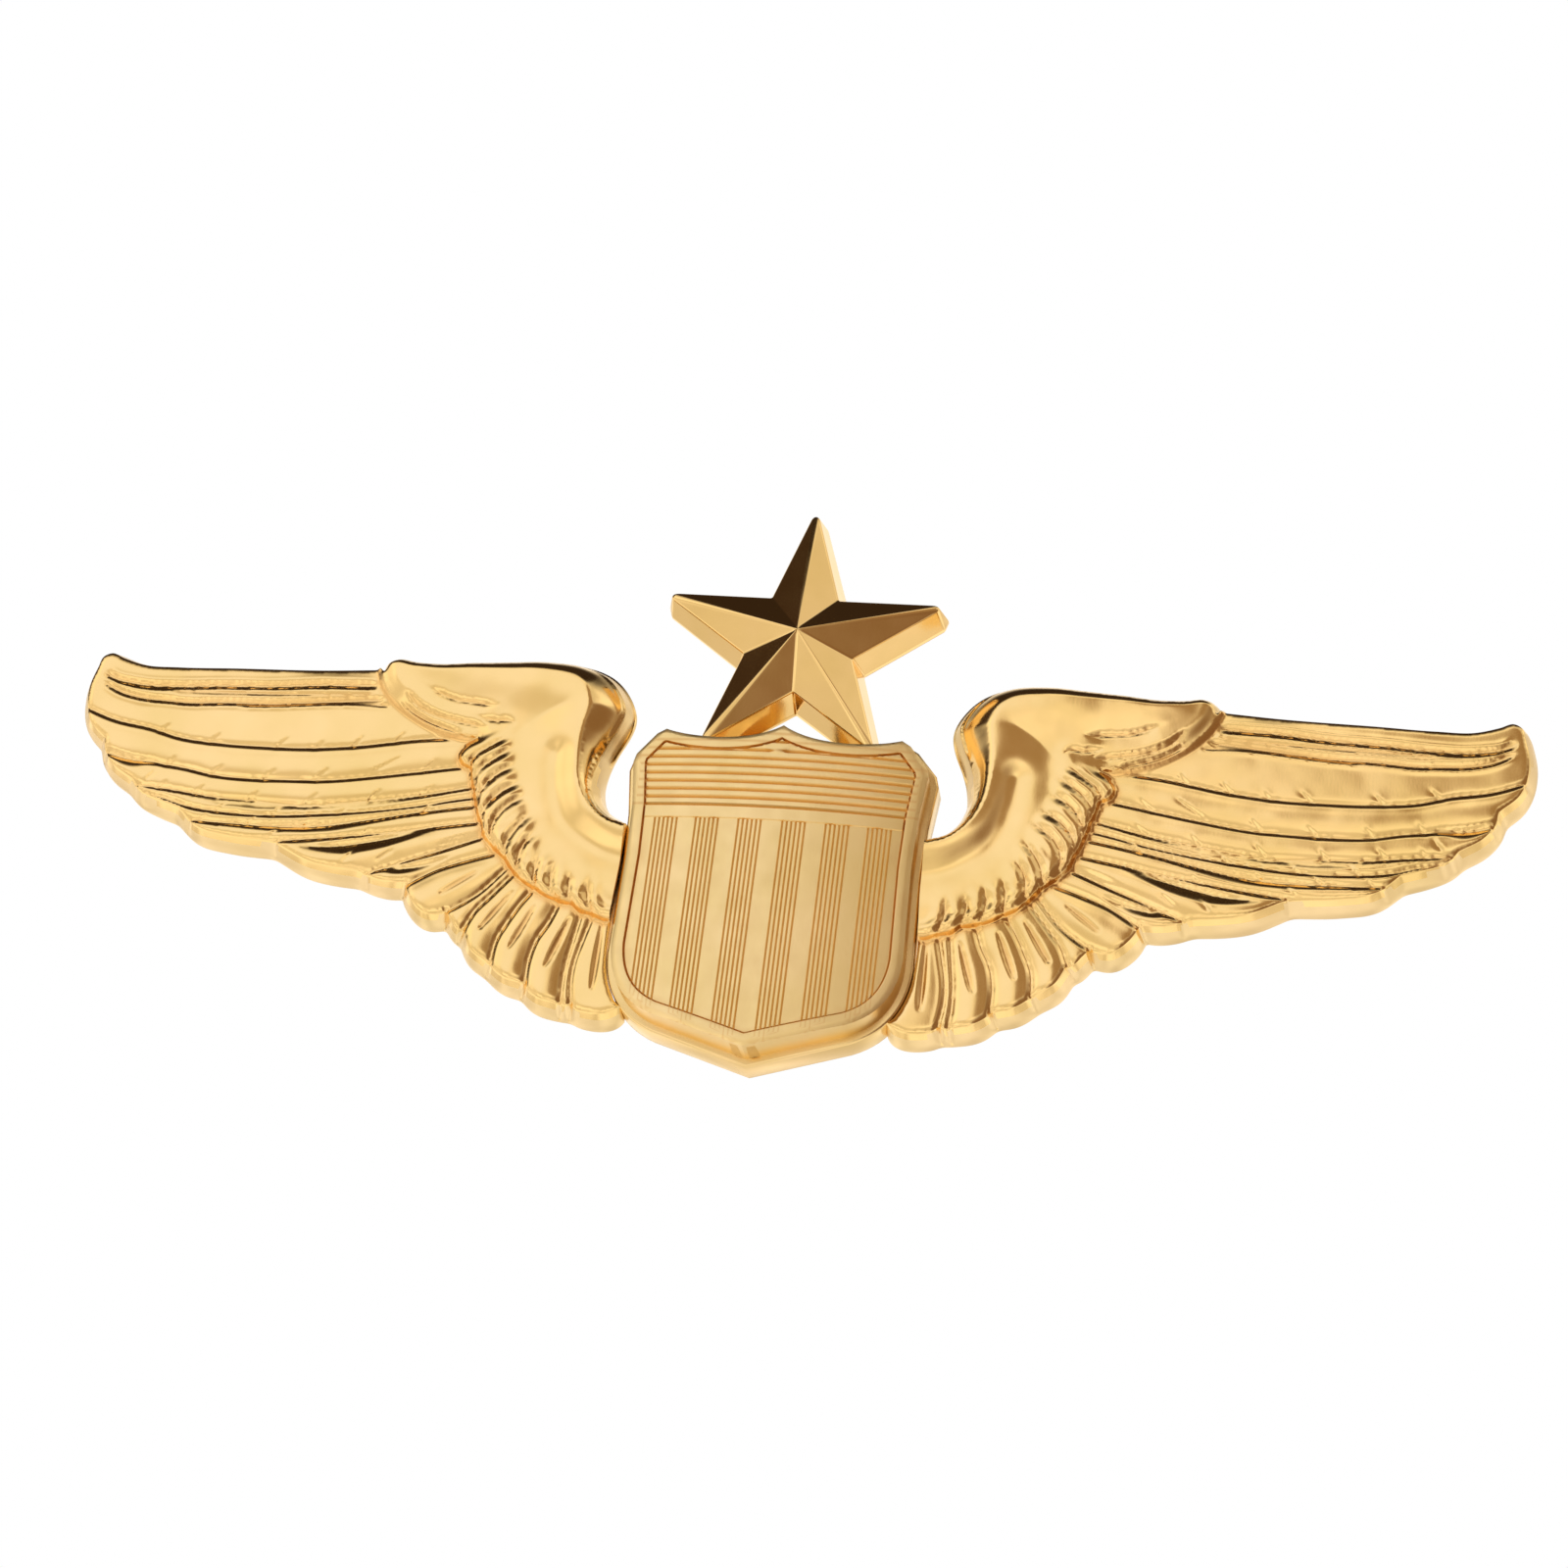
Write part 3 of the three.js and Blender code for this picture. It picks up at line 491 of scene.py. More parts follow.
def inside(points, outline):
    """Which points lie inside a closed outline."""
    result = np.zeros(len(points), bool)
    for (x0, z0), (x1, z1) in zip(outline, np.roll(outline, -1, axis=0)):
        if z0 == z1:
            continue
        crosses = (z0 > points[:, 1]) != (z1 > points[:, 1])
        result ^= crosses & (points[:, 0] < (x1 - x0) * (points[:, 1] - z0) / (z1 - z0) + x0)
    return result


def ease(value, low, high):
    t = np.clip((value - low) / (high - low), 0, 1)
    return t * t * (3 - 2 * t)


CLEARANCE = 0.6


def triangles(outline, lines, spacing):
    """Points and triangles that fill an outline, keep the lines as edges, and stay even between."""
    border = closed(outline)
    points = [outline]
    edges = [(i, (i + 1) % len(outline)) for i in range(len(outline))]
    count = len(outline)
    for line in lines:
        keep = inside(line, outline) & (nearest(line, border)[0] > spacing * 0.5)
        for i in range(len(line)):
            if keep[i] and i and keep[i - 1]:
                edges.append((count + i - 1, count + i))
        points.append(line)
        count += len(line)
    if spacing < 5:
        low, high = outline.min(axis=0), outline.max(axis=0)
        rise = spacing * 0.866
        columns, rows = ((high - low) / (spacing, rise)).astype(int) + 1
        taken = np.zeros((rows, columns), bool)
        for line in [border] + list(lines):
            fine = through(line, spacing * 0.4)
            row = (fine[:, 1] - low[1]) / rise
            for up in (0, 1):
                r = np.floor(row).astype(int) + up
                place = (fine[:, 0] - low[0]) / spacing - (r % 2) / 2
                for side in (0, 1):
                    c = np.floor(place).astype(int) + side
                    gap = np.hypot((c - place) * spacing, (r - row) * rise)
                    hit = (gap < spacing * CLEARANCE) & (r >= 0) & (r < rows) & (c >= 0) & (c < columns)
                    taken[r[hit], c[hit]] = True
        r, c = np.nonzero(~taken)
        grid = np.column_stack([low[0] + (c + (r % 2) / 2) * spacing, low[1] + r * rise])
        points.append(grid[inside(grid, outline)])
    every = np.concatenate(points)
    used = np.zeros(len(every), bool)
    used[np.array(edges).ravel()] = True
    if spacing < 5:
        used[count:] = True
    renumber = np.cumsum(used) - 1
    edges = [(int(renumber[a]), int(renumber[b])) for a, b in edges]
    made = geometry.delaunay_2d_cdt(
        [Vector(p) for p in every[used]], edges, [list(range(len(outline)))], 1, 1e-6, False
    )
    flat = np.array([tuple(v) for v in made[0]])
    faces = np.array([f for f in made[2] if len(f) == 3])
    p, q, r = (flat[faces[:, i]] for i in range(3))
    within = inside((p + q + r) / 3, outline)
    faces, p, q, r = faces[within], p[within], q[within], r[within]
    turn = (q[:, 0] - p[:, 0]) * (r[:, 1] - p[:, 1]) - (q[:, 1] - p[:, 1]) * (r[:, 0] - p[:, 0])
    faces[turn < 0] = faces[turn < 0][:, ::-1]
    return flat, faces


def die(outline, lines, spacing, front, buffing=0):
    """The front of a struck plate: its points, triangles, height and the depth of its hollows, which
    sets the painted shade there.
    Each round of buffing softens every edge a little, but not the outline."""
    flat, faces = triangles(outline, lines, spacing)
    height, hollow = front(flat)
    here, there = faces.ravel(), np.roll(faces, -1, axis=1).ravel()
    around = np.maximum(np.bincount(here, minlength=len(flat)), 1)
    for _ in range(buffing):
        for field in (height, hollow):
            mean = np.bincount(here, field[there], minlength=len(flat)) / around
            field[len(outline):] = (field + mean)[len(outline):] / 2
    return flat, faces, height, hollow


def struck(name, face, walls, seats=(), mirrored=False):
    """A die-struck plate. face comes from die, walls lists (outline, y) rings from the front edge
    to the back, seats are round recesses in the back: (x, z, radius, depth)."""
    flat, faces, height, hollow = face
    verts = [np.column_stack([flat[:, 0], -height, flat[:, 1]])]
    ring = np.arange(len(walls[0][0]))
    polys = [faces]
    count = len(flat)
    for loop, y in walls:
        depth = np.full(len(loop), y) if np.isscalar(y) else y
        verts.append(np.column_stack([loop[:, 0], depth, loop[:, 1]]))
        new = count + np.arange(len(loop))
        after, new_after = np.roll(ring, -1), np.roll(new, -1)
        polys.append(np.column_stack([ring, new, new_after]))
        polys.append(np.column_stack([ring, new_after, after]))
        ring = new
        count += len(loop)
    last = walls[-1][0]
    rims = []
    turn = np.linspace(0, math.tau, 49)[:-1]
    round_ = np.column_stack([np.cos(turn), np.sin(turn)])
    for x, z, radius, depth in seats:
        for r in (radius, radius - 0.02):
            loop = (x, z) + round_ * r
            rims.append(closed(loop))
    back, back_faces = triangles(last, rims, 9)
    depth = np.zeros(len(back))
    for x, z, radius, sunk in seats:
        depth[np.hypot(back[:, 0] - x, back[:, 1] - z) < radius - 0.01] = -sunk
    back_points = np.column_stack([back[:, 0], walls[-1][1] + depth, back[:, 1]])
    number = count + np.arange(len(back))
    number[:len(last)] = ring
    verts.append(back_points)
    polys.append(number[back_faces[:, ::-1]])
    verts, polys = np.concatenate(verts) * MM, np.concatenate(polys)
    if mirrored:
        verts[:, 0] *= -1
        polys = polys[:, ::-1]
    mesh = bpy.data.meshes.new(name)
    mesh.from_pydata(verts.tolist(), [], polys.tolist())
    # The hollow mask is stored as a point attribute, from which the gilt materials paint shade into the
    # hollows.
    shade = np.zeros(len(verts))
    shade[:len(hollow)] = hollow
    layer = mesh.attributes.new("hollow_shade_and_dulling", "FLOAT", "POINT")
    layer.data.foreach_set("value", shade)
    piece = bpy.data.objects.new(name, mesh)
    bpy.context.collection.objects.link(piece)
    only(piece)
    bpy.ops.object.mode_set(mode="EDIT")
    bpy.ops.mesh.select_all(action="SELECT")
    bpy.ops.mesh.delete_loose()
    bpy.ops.object.mode_set(mode="OBJECT")
    return piece


def beside(line, distance):
    """The same line moved to its left by a distance."""
    along = np.gradient(line, axis=0)
    along /= np.linalg.norm(along, axis=1)[:, None]
    return line + np.column_stack([-along[:, 1], along[:, 0]]) * distance


WING_STEP = 0.11
seat_edge = spread(shield_edge(), BASE_LEDGE + SEAM)
root = seat_edge[(seat_edge[:, 0] > 0) & (seat_edge[:, 1] > -6.0) & (seat_edge[:, 1] < 3.9)]
root = root[root[:, 1].argsort()]
runs = [through(run, WING_STEP) for run in WING_EDGE]
root_line = through(np.concatenate([runs[-1][-1:], root, runs[0][:1]]), WING_STEP)
wing_outline = np.concatenate([run[:-1] for run in runs] + [root_line[:-1]])[::-1]
on_root = np.zeros(len(wing_outline), bool)
on_root[: len(root_line) - 1] = True
closed_wing = closed(wing_outline)

feather_lines = [through(line, 0.12) for line in FEATHER_LINES]
leading_grooves = [(w, d, through(line, 0.12)) for w, d, line in LEADING_GROOVES]
fullers = [(w, beside(through(line, 0.12), -w)) for w, line in DEEP_FULLERS]
alula_edge = through(ALULA_EDGE, 0.12)
alula_cuts = [(w, d, through(line, 0.12)) for w, d, line in ALULA_CUTS]
crest, trough = through(CREST, 0.2), through(TROUGH, 0.2)
covert_edge = through(COVERT_EDGE, 0.1)
covert_hooks = [through(line, 0.1) for line in COVERT_HOOKS]
raised_edge = np.concatenate([alula_edge, covert_edge])
lead_edge = runs[0]
barb_nicks = [through(nick, 0.1)[:-2] for nick in BARB_NICKS]
bevel_at = np.array([(x, z) for x, z, _ in ARM_BEVEL], float)
bevel_place = nearest(bevel_at, lead_edge)[2]
bevel_width = [width for _, _, width in ARM_BEVEL]


def rounded(away, width):
    """A rounded ridge or groove: one on its line, next to nothing at twice the width."""
    return np.exp(-((away / width) ** 2))


def step_down(away, width):
    """The hollow under an edge: one at the edge, then less and less."""
    return np.exp(-away / width)


def run_length(line):
    return np.linalg.norm(np.diff(line, axis=0), axis=1).sum()


def feathers(points):
    """Each feather starts low under the one above, with a fine bead, and swells in the middle."""
    passed = [nearest(points, line) for line in feather_lines]
    below = np.array([side < 0 for _, side, _ in passed])
    gap = np.array([distance for distance, _, _ in passed])
    number = below.sum(axis=0)
    over = np.where(below, gap, FAR).min(axis=0)
    under = np.where(~below, gap, FAR).min(axis=0)
    share = over / np.maximum(over + under, 1e-6)
    width = np.minimum(over + under, 2.4)
    long = number <= LONG_FEATHERS
    height = WING_FACE - np.where(long, LONG_STEP, FEATHER_STEP) * step_down(over, 0.16)
    height += FEATHER_BEAD * rounded(over - 0.24, 0.12) * (number > 0)
    height += np.where(long, LONG_SWELL, FEATHER_SWELL) * width * (1 - (2 * share - 1) ** 2)
    height -= 0.04 * step_down(under, 0.08)
    # The second value is painted shade: a dark line along the foot of each overlapping feather edge.
    return height, 0.3 * rounded(over, 0.13)


def cuts(points, height, hollow):
    """Grooves along the leading edge, flutes, barb nicks and the slots of the short feathers."""
    for width, depth, line in leading_grooves:
        away, _, place = close_to(points, line)
        fade = ease(place, 0, 0.8) * ease(run_length(line) - place, -0.4, 0.3)
        height -= depth * fade * rounded(away, width)
        height += 0.3 * depth * fade * rounded(away - 2.2 * width, width)
        # Painted shade along the floor of each groove.
        hollow += 0.4 * fade * rounded(away, width)
    for half, line in fullers:
        away, side, place = close_to(points, line)
        total = run_length(line)
        fade = (ease(place, 0, total * 0.4) * ease(total - place, 0, total * 0.5)) ** 0.6
        broad = np.maximum(2 * half * fade, 0.02)
        flute = np.where(side > 0, 1 - away / broad, 1 - away / 0.1)
        height -= FULLER_SLOPE * broad * np.clip(flute, 0, 1) * (fade > 0)
    for nick in barb_nicks:
        away, side, _ = close_to(points, nick)
        height -= NICK_STEP * step_down(away, 0.11) * (side > 0)
        height += NICK_STEP / 3 * step_down(away, 0.09) * (side < 0)
    for half, depth, root_end, tip_end in SLOTS:
        line = np.array([root_end, tip_end])
        away, _, place = close_to(points, line, 2)
        share = np.clip(place / run_length(line), 0.001, 0.999)
        broad = half * np.sin(math.pi * share**1.2) ** 0.7 + 0.03
        lens = 1 - ease(away, broad * 0.45, broad)
        height -= depth * lens
        # Painted shade in each slot.
        hollow += 0.5 * lens


def shoulder(points, hollow):
    """The smooth arm, the alula and the coverts, and where the alula takes over from the arm."""
    covert = nearest(points, covert_edge)[0]
    tufted = nearest(points, alula_edge)[0]
    top = nearest(points, crest)[0]
    dip = nearest(points, trough)[0]
    arm = ARM_HEIGHT + ARM_CREST * rounded(top, 2.3) - ARM_TROUGH * rounded(dip, 0.8)
    arm += 0.08 * rounded(covert - 1.5, 0.8)
    tuft = ALULA_HEIGHT + 0.22 * ease(tufted, 0.0, 0.9) + 0.3 * ease(tufted, 0.7, 4.0)
    from_tuft = ease(points[:, 0], 13.6, 17.0) * ease(points[:, 1], 7.4, 9.4)
    raised = arm * (1 - from_tuft) + tuft * from_tuft
    for width, depth, line in alula_cuts:
        away, side, place = close_to(points, line, 2.0)
        fade = ease(place, -0.3, 0.6) * ease(run_length(line) - place, -0.1, 0.8)
        raised -= fade * (depth * rounded(away, width) + 0.09 * step_down(away, 0.4) * (side > 0))
        # Painted shade along each alula cut.
        hollow += 0.45 * fade * rounded(away, width)
    for line in covert_hooks:
        away, side, place = close_to(points, line, 1.5)
        fade = ease(place, 0.0, 1.1)
        raised -= fade * COVERT_GROOVE * rounded(away, 0.09)
        raised += fade * COVERT_DOME * rounded(away - 0.36, 0.28)
        raised -= fade * 0.04 * step_down(away, 0.3) * (side > 0)
        # Painted shade along each covert's curled edge.
        hollow += 0.35 * fade * rounded(away, 0.09)
    for pit in COVERT_PITS:
        raised -= 0.035 * rounded(np.hypot(*(points - pit).T), 0.4)
    raised -= COVERT_STEP * step_down(covert, 0.12) * (1 - from_tuft)
    return raised, from_tuft


def wing_relief(points):
    """Height of the struck front at points, and the painted shade mask, 0 to 1, strongest in the hollows."""
    rim = nearest(points, closed_wing)[0]
    lead, _, lead_place = nearest(points, lead_edge)
    height, hollow = feathers(points)
    cuts(points, height, hollow)
    height -= np.where(rim < lead + 0.01, 0.07, 0.0) * step_down(rim, 0.1)
    raised, from_tuft = shoulder(points, hollow)
    broad = np.interp(lead_place, bevel_place, bevel_width)
    fall = np.clip(1 - lead / broad, 0, 1)
    drop = np.interp(lead_place, bevel_place, np.clip(np.array(bevel_width) * 1.1, 0.45, 1.25))
    raised -= drop * (0.75 * fall**1.15 + 0.25 * fall**4)
    away = nearest(points, raised_edge)[0]
    within = np.where(inside(points, raised_ground), away, -away)
    skirt = np.where(from_tuft > 0.2, ALULA_HEIGHT + 1.1 * within, 1.62 + 1.0 * within)
    on_shoulder = np.maximum(raised, np.minimum(height, 1.2))
    height = np.where(within > 0, on_shoulder, np.maximum(height, skirt))
    # Painted shade at the foot of the raised alula and coverts.
    hollow += 0.6 * rounded(within + 0.16, 0.13)
    return height, np.clip(hollow, 0, 1)


raised_ground = np.concatenate([
    raised_edge, [(7.4, -1.4), (6.0, -1.4), (6.0, 6.0), (6.0, 15.0), (23.0, 15.0), (22.4, 12.7)],
])
wing_lines = []
for line in feather_lines:
    away, side, _ = nearest(line, raised_edge)
    bare = line[(side < 0) & (away > 0.12)]
    if len(bare) <= 3:
        continue
    wing_lines += [beside(bare, 0.05), beside(bare, -0.05)]
    others = [nearest(bare, other)[0] for other in feather_lines if other is not line]
    roomy = np.flatnonzero(np.min(others, axis=0) > 0.6)
    for run in np.split(roomy, np.flatnonzero(np.diff(roomy) > 1) + 1):
        if len(run) > 3:
            wing_lines += [beside(bare[run], distance) for distance in (0.14, -0.14, -0.23)]
wing_lines += [beside(raised_edge, 0.035), beside(raised_edge, -0.035)]
for width, _, line in leading_grooves + alula_cuts:
    wing_lines += [line, beside(line, width * 0.8), beside(line, -width * 0.8)]
for line in covert_hooks:
    wing_lines += [line, beside(line, 0.09), beside(line, -0.09)]
wing_lines.append(crest[crest[:, 0] < 12.5])
for _, line in fullers:
    wing_lines += [line, beside(line, -0.1)]
for nick in barb_nicks:
    wing_lines += [beside(nick, 0.025), beside(nick, -0.025)]


def soften(loop, rounds):
    for _ in range(rounds):
        loop = loop * 0.5 + (np.roll(loop, 1, axis=0) + np.roll(loop, -1, axis=0)) * 0.25
    return loop


def wing_walls():
    """From the front edge: a rolled corner, the leaning wall, then a square land at the back."""
    calm = np.where(on_root[:, None], wing_outline, soften(wing_outline, 30))
    out = soften(spread(calm, 0.1) - calm, 12)
    out /= np.linalg.norm(out, axis=1)[:, None]
    free = soften(np.where(on_root, 0.0, 1.0)[:, None], 8) * (~on_root)[:, None]
    edge = -wing_relief(wing_outline)[0]
    foot = wing_outline + out * free * (WING_DRAFT + 0.03)
    foot = np.where(on_root[:, None], foot, foot * (1 - free) + soften(foot, 14) * free)
    walls = []
    for share, back in ((0.05, 0.03), (0.16, 0.15), (0.5, 0.5), (0.78, 0.85)):
        walls.append((wing_outline + (foot - wing_outline) * share,
                      np.minimum(edge + back, -WING_LAND - 0.03)))
    return walls + [(foot, -WING_LAND), (foot, 0.0)]


WALL_LEAN = 0.62
WALL_TOP = 1.32
WING_GILT = gilt("wing_gilt", (1.0, 0.705, 0.31), (0.85, 0.42, 0.12), 0.12, 0.06, 0.05, 0.001)
WALL_GILT = gilt("wing_wall_gilt", (1.0, 0.76, 0.42), (0.85, 0.5, 0.2), 0.3, 0.1, 0.02, 0.002)

walls = wing_walls()
wing_die = die(wing_outline, wing_lines, 0.09, wing_relief, buffing=3)
seats = [(*POST_PLACES["right"], PAD_RADIUS + SEAM, PAD_SEAT)]
for side, mirrored in (("right", False), ("left", True)):
    wing = struck(f"feathered_wing_{side}", wing_die, walls, seats, mirrored)
    smooth(wing, 80)
    finish_piece(wing, WING_GILT, "badge", "polished_gilt", f"wing_{side}")
    wing.data.materials.append(WALL_GILT)
    for polygon in wing.data.polygons:
        front = min(wing.data.vertices[v].co.y for v in polygon.vertices)
        if abs(polygon.normal.y) < WALL_LEAN and front > -WALL_TOP * MM:
            polygon.material_index = 1

# Star -------------------------------------------------------------------------------------------
# A solid faceted star, struck and highly polished, with worn, softly rounded ridges and points.
# Its two lower points are let into the base behind the shield's top edge and soldered there.

STAR_RISE = 1.3
STAR_TIP = 0.2
STAR_GILT = gilt("star_gilt", (1.0, 0.7, 0.315), (0.8, 0.42, 0.14), 0.09, 0.05, 0.02, 0.001)

STAR_UNWORN = STAR_OUTER + 0.3
foot = star_points(STAR_LEAN, STAR_TIP + 0.3, 2, STAR_UNWORN)
brow = star_points(0, STAR_TIP, 2, STAR_UNWORN)
star = cut_blank("faceted_star", foot, -0.3, 0)
only(star)
bpy.ops.object.mode_set(mode="EDIT")
bpy.ops.mesh.select_mode(type="FACE")
bpy.ops.mesh.select_all(action="DESELECT")
grip = bmesh.from_edit_mesh(star.data)
for face in grip.faces:
    face.select = face.calc_center_median().y < -0.29 * MM
bmesh.update_edit_mesh(star.data)
bpy.ops.mesh.extrude_region_move(TRANSFORM_OT_translate={"value": (0, -(STAR_WALL - 0.3) * MM, 0)})
grip = bmesh.from_edit_mesh(star.data)
for vertex in grip.verts:
    if vertex.co.y < -(STAR_WALL - 0.1) * MM:
        here = (vertex.co.x / MM, vertex.co.z / MM)
        x, z = brow[np.hypot(*(foot - here).T).argmin()]
        vertex.co.x, vertex.co.z = x * MM, z * MM
bmesh.update_edit_mesh(star.data)
bpy.ops.mesh.poke(offset=0)
grip = bmesh.from_edit_mesh(star.data)
for vertex in grip.verts:
    if math.hypot(vertex.co.x / MM, vertex.co.z / MM - STAR_HEIGHT) < 1 and vertex.co.y < -MM:
        vertex.co = (0, -(STAR_WALL + STAR_RISE) * MM, STAR_HEIGHT * MM)
bmesh.update_edit_mesh(star.data)
bpy.ops.object.mode_set(mode="OBJECT")
modify(star, "BEVEL", width=0.17 * MM, segments=4, limit_method="ANGLE",
       angle_limit=math.radians(10))
smooth(star, 24)
modify(star, "WEIGHTED_NORMAL", weight=100, keep_sharp=True)
finish_piece(star, STAR_GILT, "badge", "polished_gilt", "star")

# Shield face ------------------------------------------------------------------------------------
# A separate struck plate with a satin finish, bowed forward about its upright axis: a plain raised
# rim, a chief of fine level ribs, a plain bar, and thirteen stripes, every other one ribbed.

FACE_THICK = 1.2
FACE_CROWN = 0.6
FACE_RIM = 0.62
CHIEF_FOOT = 4.63
BAR = 0.65
STRIPE_CENTRES = (1.13, 3.35, 5.5)
STRIPE_HALF = 0.66
RIB_PITCH = 0.23
CHIEF_PITCH = 0.456
FACE_SATIN = gilt("face_satin", (1.0, 0.75, 0.37), (0.8, 0.45, 0.16), 0.3, 0.1, 0.004, 0.003)

face_outline = shield_edge()
closed_face = closed(face_outline)
fine_outline = np.concatenate([
    np.linspace(a, b, max(2, int(np.linalg.norm(b - a) / 0.15) + 1))[:-1]
    for a, b in zip(closed_face[:-1], closed_face[1:])
])
crown_radius = (SHIELD_HALF_WIDTH**2 + FACE_CROWN**2) / (2 * FACE_CROWN)


def face_relief(points):
    x, z = points.T
    bow = BASE_THICK + FACE_THICK + FACE_CROWN - (
        crown_radius - np.sqrt(crown_radius**2 - x**2)
    )
    edge = nearest(points, closed_face)[0]
    rim = 0.02 * np.sqrt(np.maximum(1 - ((edge - 0.31) / 0.33) ** 2, 0)) - 0.06 * np.exp(-edge / 0.04)
    # Painted shade: a dark line in the hollow just inside the rim.
    hollow = 0.6 * np.exp(-((edge - FACE_RIM - 0.04) / 0.06) ** 2)
    field = np.full(len(points), -0.2)
    # chief: eight level cuts with rounded ribs between them
    chief = z > CHIEF_FOOT
    turn = np.cos((z - 4.7) / CHIEF_PITCH * math.tau)
    cut = np.clip(turn, 0, 1) ** 1.5
    field = np.where(chief, -0.07 - 0.15 * cut, field)
    # Painted shade in each cut of the chief.
    hollow = np.maximum(hollow, np.where(chief, 0.5 * cut, 0))
    bar = (z <= CHIEF_FOOT) & (z > CHIEF_FOOT - BAR)
    field = np.where(bar, -0.04, field)
    stripes = z <= CHIEF_FOOT - BAR
    field = np.where(stripes, -0.1, field)
    for centre in STRIPE_CENTRES:
        across = np.abs(np.abs(x) - centre)
        ribbed = stripes & (across < STRIPE_HALF)
        cut = np.clip(-np.cos((np.abs(x) - centre) / RIB_PITCH * math.tau), 0, 1) ** 1.3
        field = np.where(ribbed, -0.1 - 0.06 * cut, field)
        # Painted shade in each cut between the stripe's ribs.
        hollow = np.where(ribbed, np.maximum(hollow, 0.42 * cut), hollow)
    small = (np.abs(x + 0.15) < 0.95 * (z - 7.7) / 0.6 + 0.1) & (z > 7.7) & (z < 8.3) & chief
    field = np.where(small, -0.04, field)
    height = bow + np.where(edge < FACE_RIM, rim, field)
    height = np.where((edge >= FACE_RIM) & (edge < FACE_RIM + 0.06), bow - 0.2, height)
    return height, np.clip(hollow, 0, 1)


rim_steps = (0.04, 0.1, 0.2, 0.31, 0.46, 0.57, FACE_RIM - 0.01, FACE_RIM + 0.03, FACE_RIM + 0.1)
face_lines = [closed(spread(face_outline, -distance)) for distance in rim_steps]
tall = np.arange(CHIEF_FOOT - BAR - 0.03, -9, -0.35)
stripe_edge = STRIPE_HALF + 0.01
for centre in STRIPE_CENTRES:
    ribs = np.concatenate([np.arange(-11, 12) * RIB_PITCH / 4, [-stripe_edge, stripe_edge]])
    for offset in ribs:
        for sign in (-1, 1):
            face_lines.append(np.column_stack([np.full(len(tall), sign * (centre + offset)), tall]))
wide = np.arange(-7.5, 7.51, 0.3)
bar_edges = [CHIEF_FOOT - 0.02, CHIEF_FOOT - BAR + 0.02, CHIEF_FOOT - BAR - 0.02]
for level in np.concatenate([np.arange(CHIEF_FOOT + 0.02, 9.4, CHIEF_PITCH / 8), bar_edges]):
    face_lines.append(np.column_stack([wide, np.full(len(wide), level)]))

side_y = -face_relief(fine_outline)[0]
side_walls = [(fine_outline, np.minimum(side_y + 0.12, -1.75)), (fine_outline, -BASE_THICK)]
face_die = die(fine_outline, face_lines, 0.3, face_relief)
shield = struck("striped_shield", face_die, side_walls)
smooth(shield, 32)
finish_piece(shield, FACE_SATIN, "badge", "satin_gilt", "shield_face")

# Pegs -------------------------------------------------------------------------------------------
# Two short brass pegs that hold the face to the base: their heads are filed flush with the back.

PIN_BRASS = gilt("pin_brass", (0.86, 0.66, 0.32), (0.5, 0.28, 0.1), 0.24, 0.12, 0.004, 0.003)
for name, z in zip(("upper", "lower"), PEG_HEIGHTS):
    tip = -BASE_THICK - PEG_ENTRY
    peg = turned(f"flush_peg_{name}", [
        (0, tip), (PEG_RADIUS - 0.1, tip), (PEG_RADIUS, tip + 0.1), (PEG_RADIUS, -PEG_HEAD[1]),
        (PEG_HEAD[0] - 0.06, -0.06), (PEG_HEAD[0] - 0.08, -0.01), (PEG_HEAD[0] - 0.16, 0), (0, 0),
    ], 0, z, 64)
    smooth(peg)
    finish_piece(peg, PIN_BRASS, "badge", "plain_brass", f"shield_peg_{name}")

# Posts ------------------------------------------------------------------------------------------
# Three sharp brass pins, each with a flat pad soldered into its seat, and a small groove near the
# point that the clutch's spring jaws drop into.

POST_RADIUS = 0.55
POST_LENGTH = 9.0
GROOVE_AT = POST_LENGTH - 2.0
for name, (x, z) in POST_PLACES.items():
    post = turned(f"sharp_post_{name}", [
        (0, -PAD_SEAT), (PAD_RADIUS - 0.03, -PAD_SEAT), (PAD_RADIUS, -PAD_SEAT + 0.03),
        (PAD_RADIUS, 0.22), (PAD_RADIUS - 0.08, 0.3), (POST_RADIUS + 0.2, 0.31),
        (POST_RADIUS + 0.06, 0.36), (POST_RADIUS, 0.5), (POST_RADIUS, GROOVE_AT - 0.24),
        (POST_RADIUS - 0.09, GROOVE_AT - 0.16), (POST_RADIUS - 0.12, GROOVE_AT - 0.08),
        (POST_RADIUS - 0.12, GROOVE_AT + 0.08), (POST_RADIUS - 0.09, GROOVE_AT + 0.16),
        (POST_RADIUS, GROOVE_AT + 0.24), (POST_RADIUS, POST_LENGTH - 1.35),
        (POST_RADIUS - 0.06, POST_LENGTH - 1.15), (0.12, POST_LENGTH - 0.16),
        (0.05, POST_LENGTH - 0.03), (0, POST_LENGTH),
    ], x, z)
    smooth(post, 40)
    finish_piece(post, PIN_BRASS, "badge", "plain_brass", f"post_{name}")

# Clutch cups ------------------------------------------------------------------------------------
# Each butterfly clutch starts as a shallow cup drawn from thin brass sheet, its rim rolled in and
# its middle pierced by an eyelet, which slides on the post and holds the spring.

CLUTCH_FACE = 2.2
CLUTCH_RADIUS = 5.7
CLUTCH_SHEET = 0.35
CUP_FLOOR = CLUTCH_FACE + CLUTCH_SHEET
CLUTCH_BORE = POST_RADIUS + 0.13
EYELET = CLUTCH_BORE + 0.42
SPRING_SHEET = 0.25
FLARE = CUP_FLOOR + SEAM + SPRING_SHEET + SEAM
CUP_BRASS = gilt("cup_brass", (0.84, 0.63, 0.29), (0.45, 0.25, 0.09), 0.2, 0.14, 0.012, 0.003)

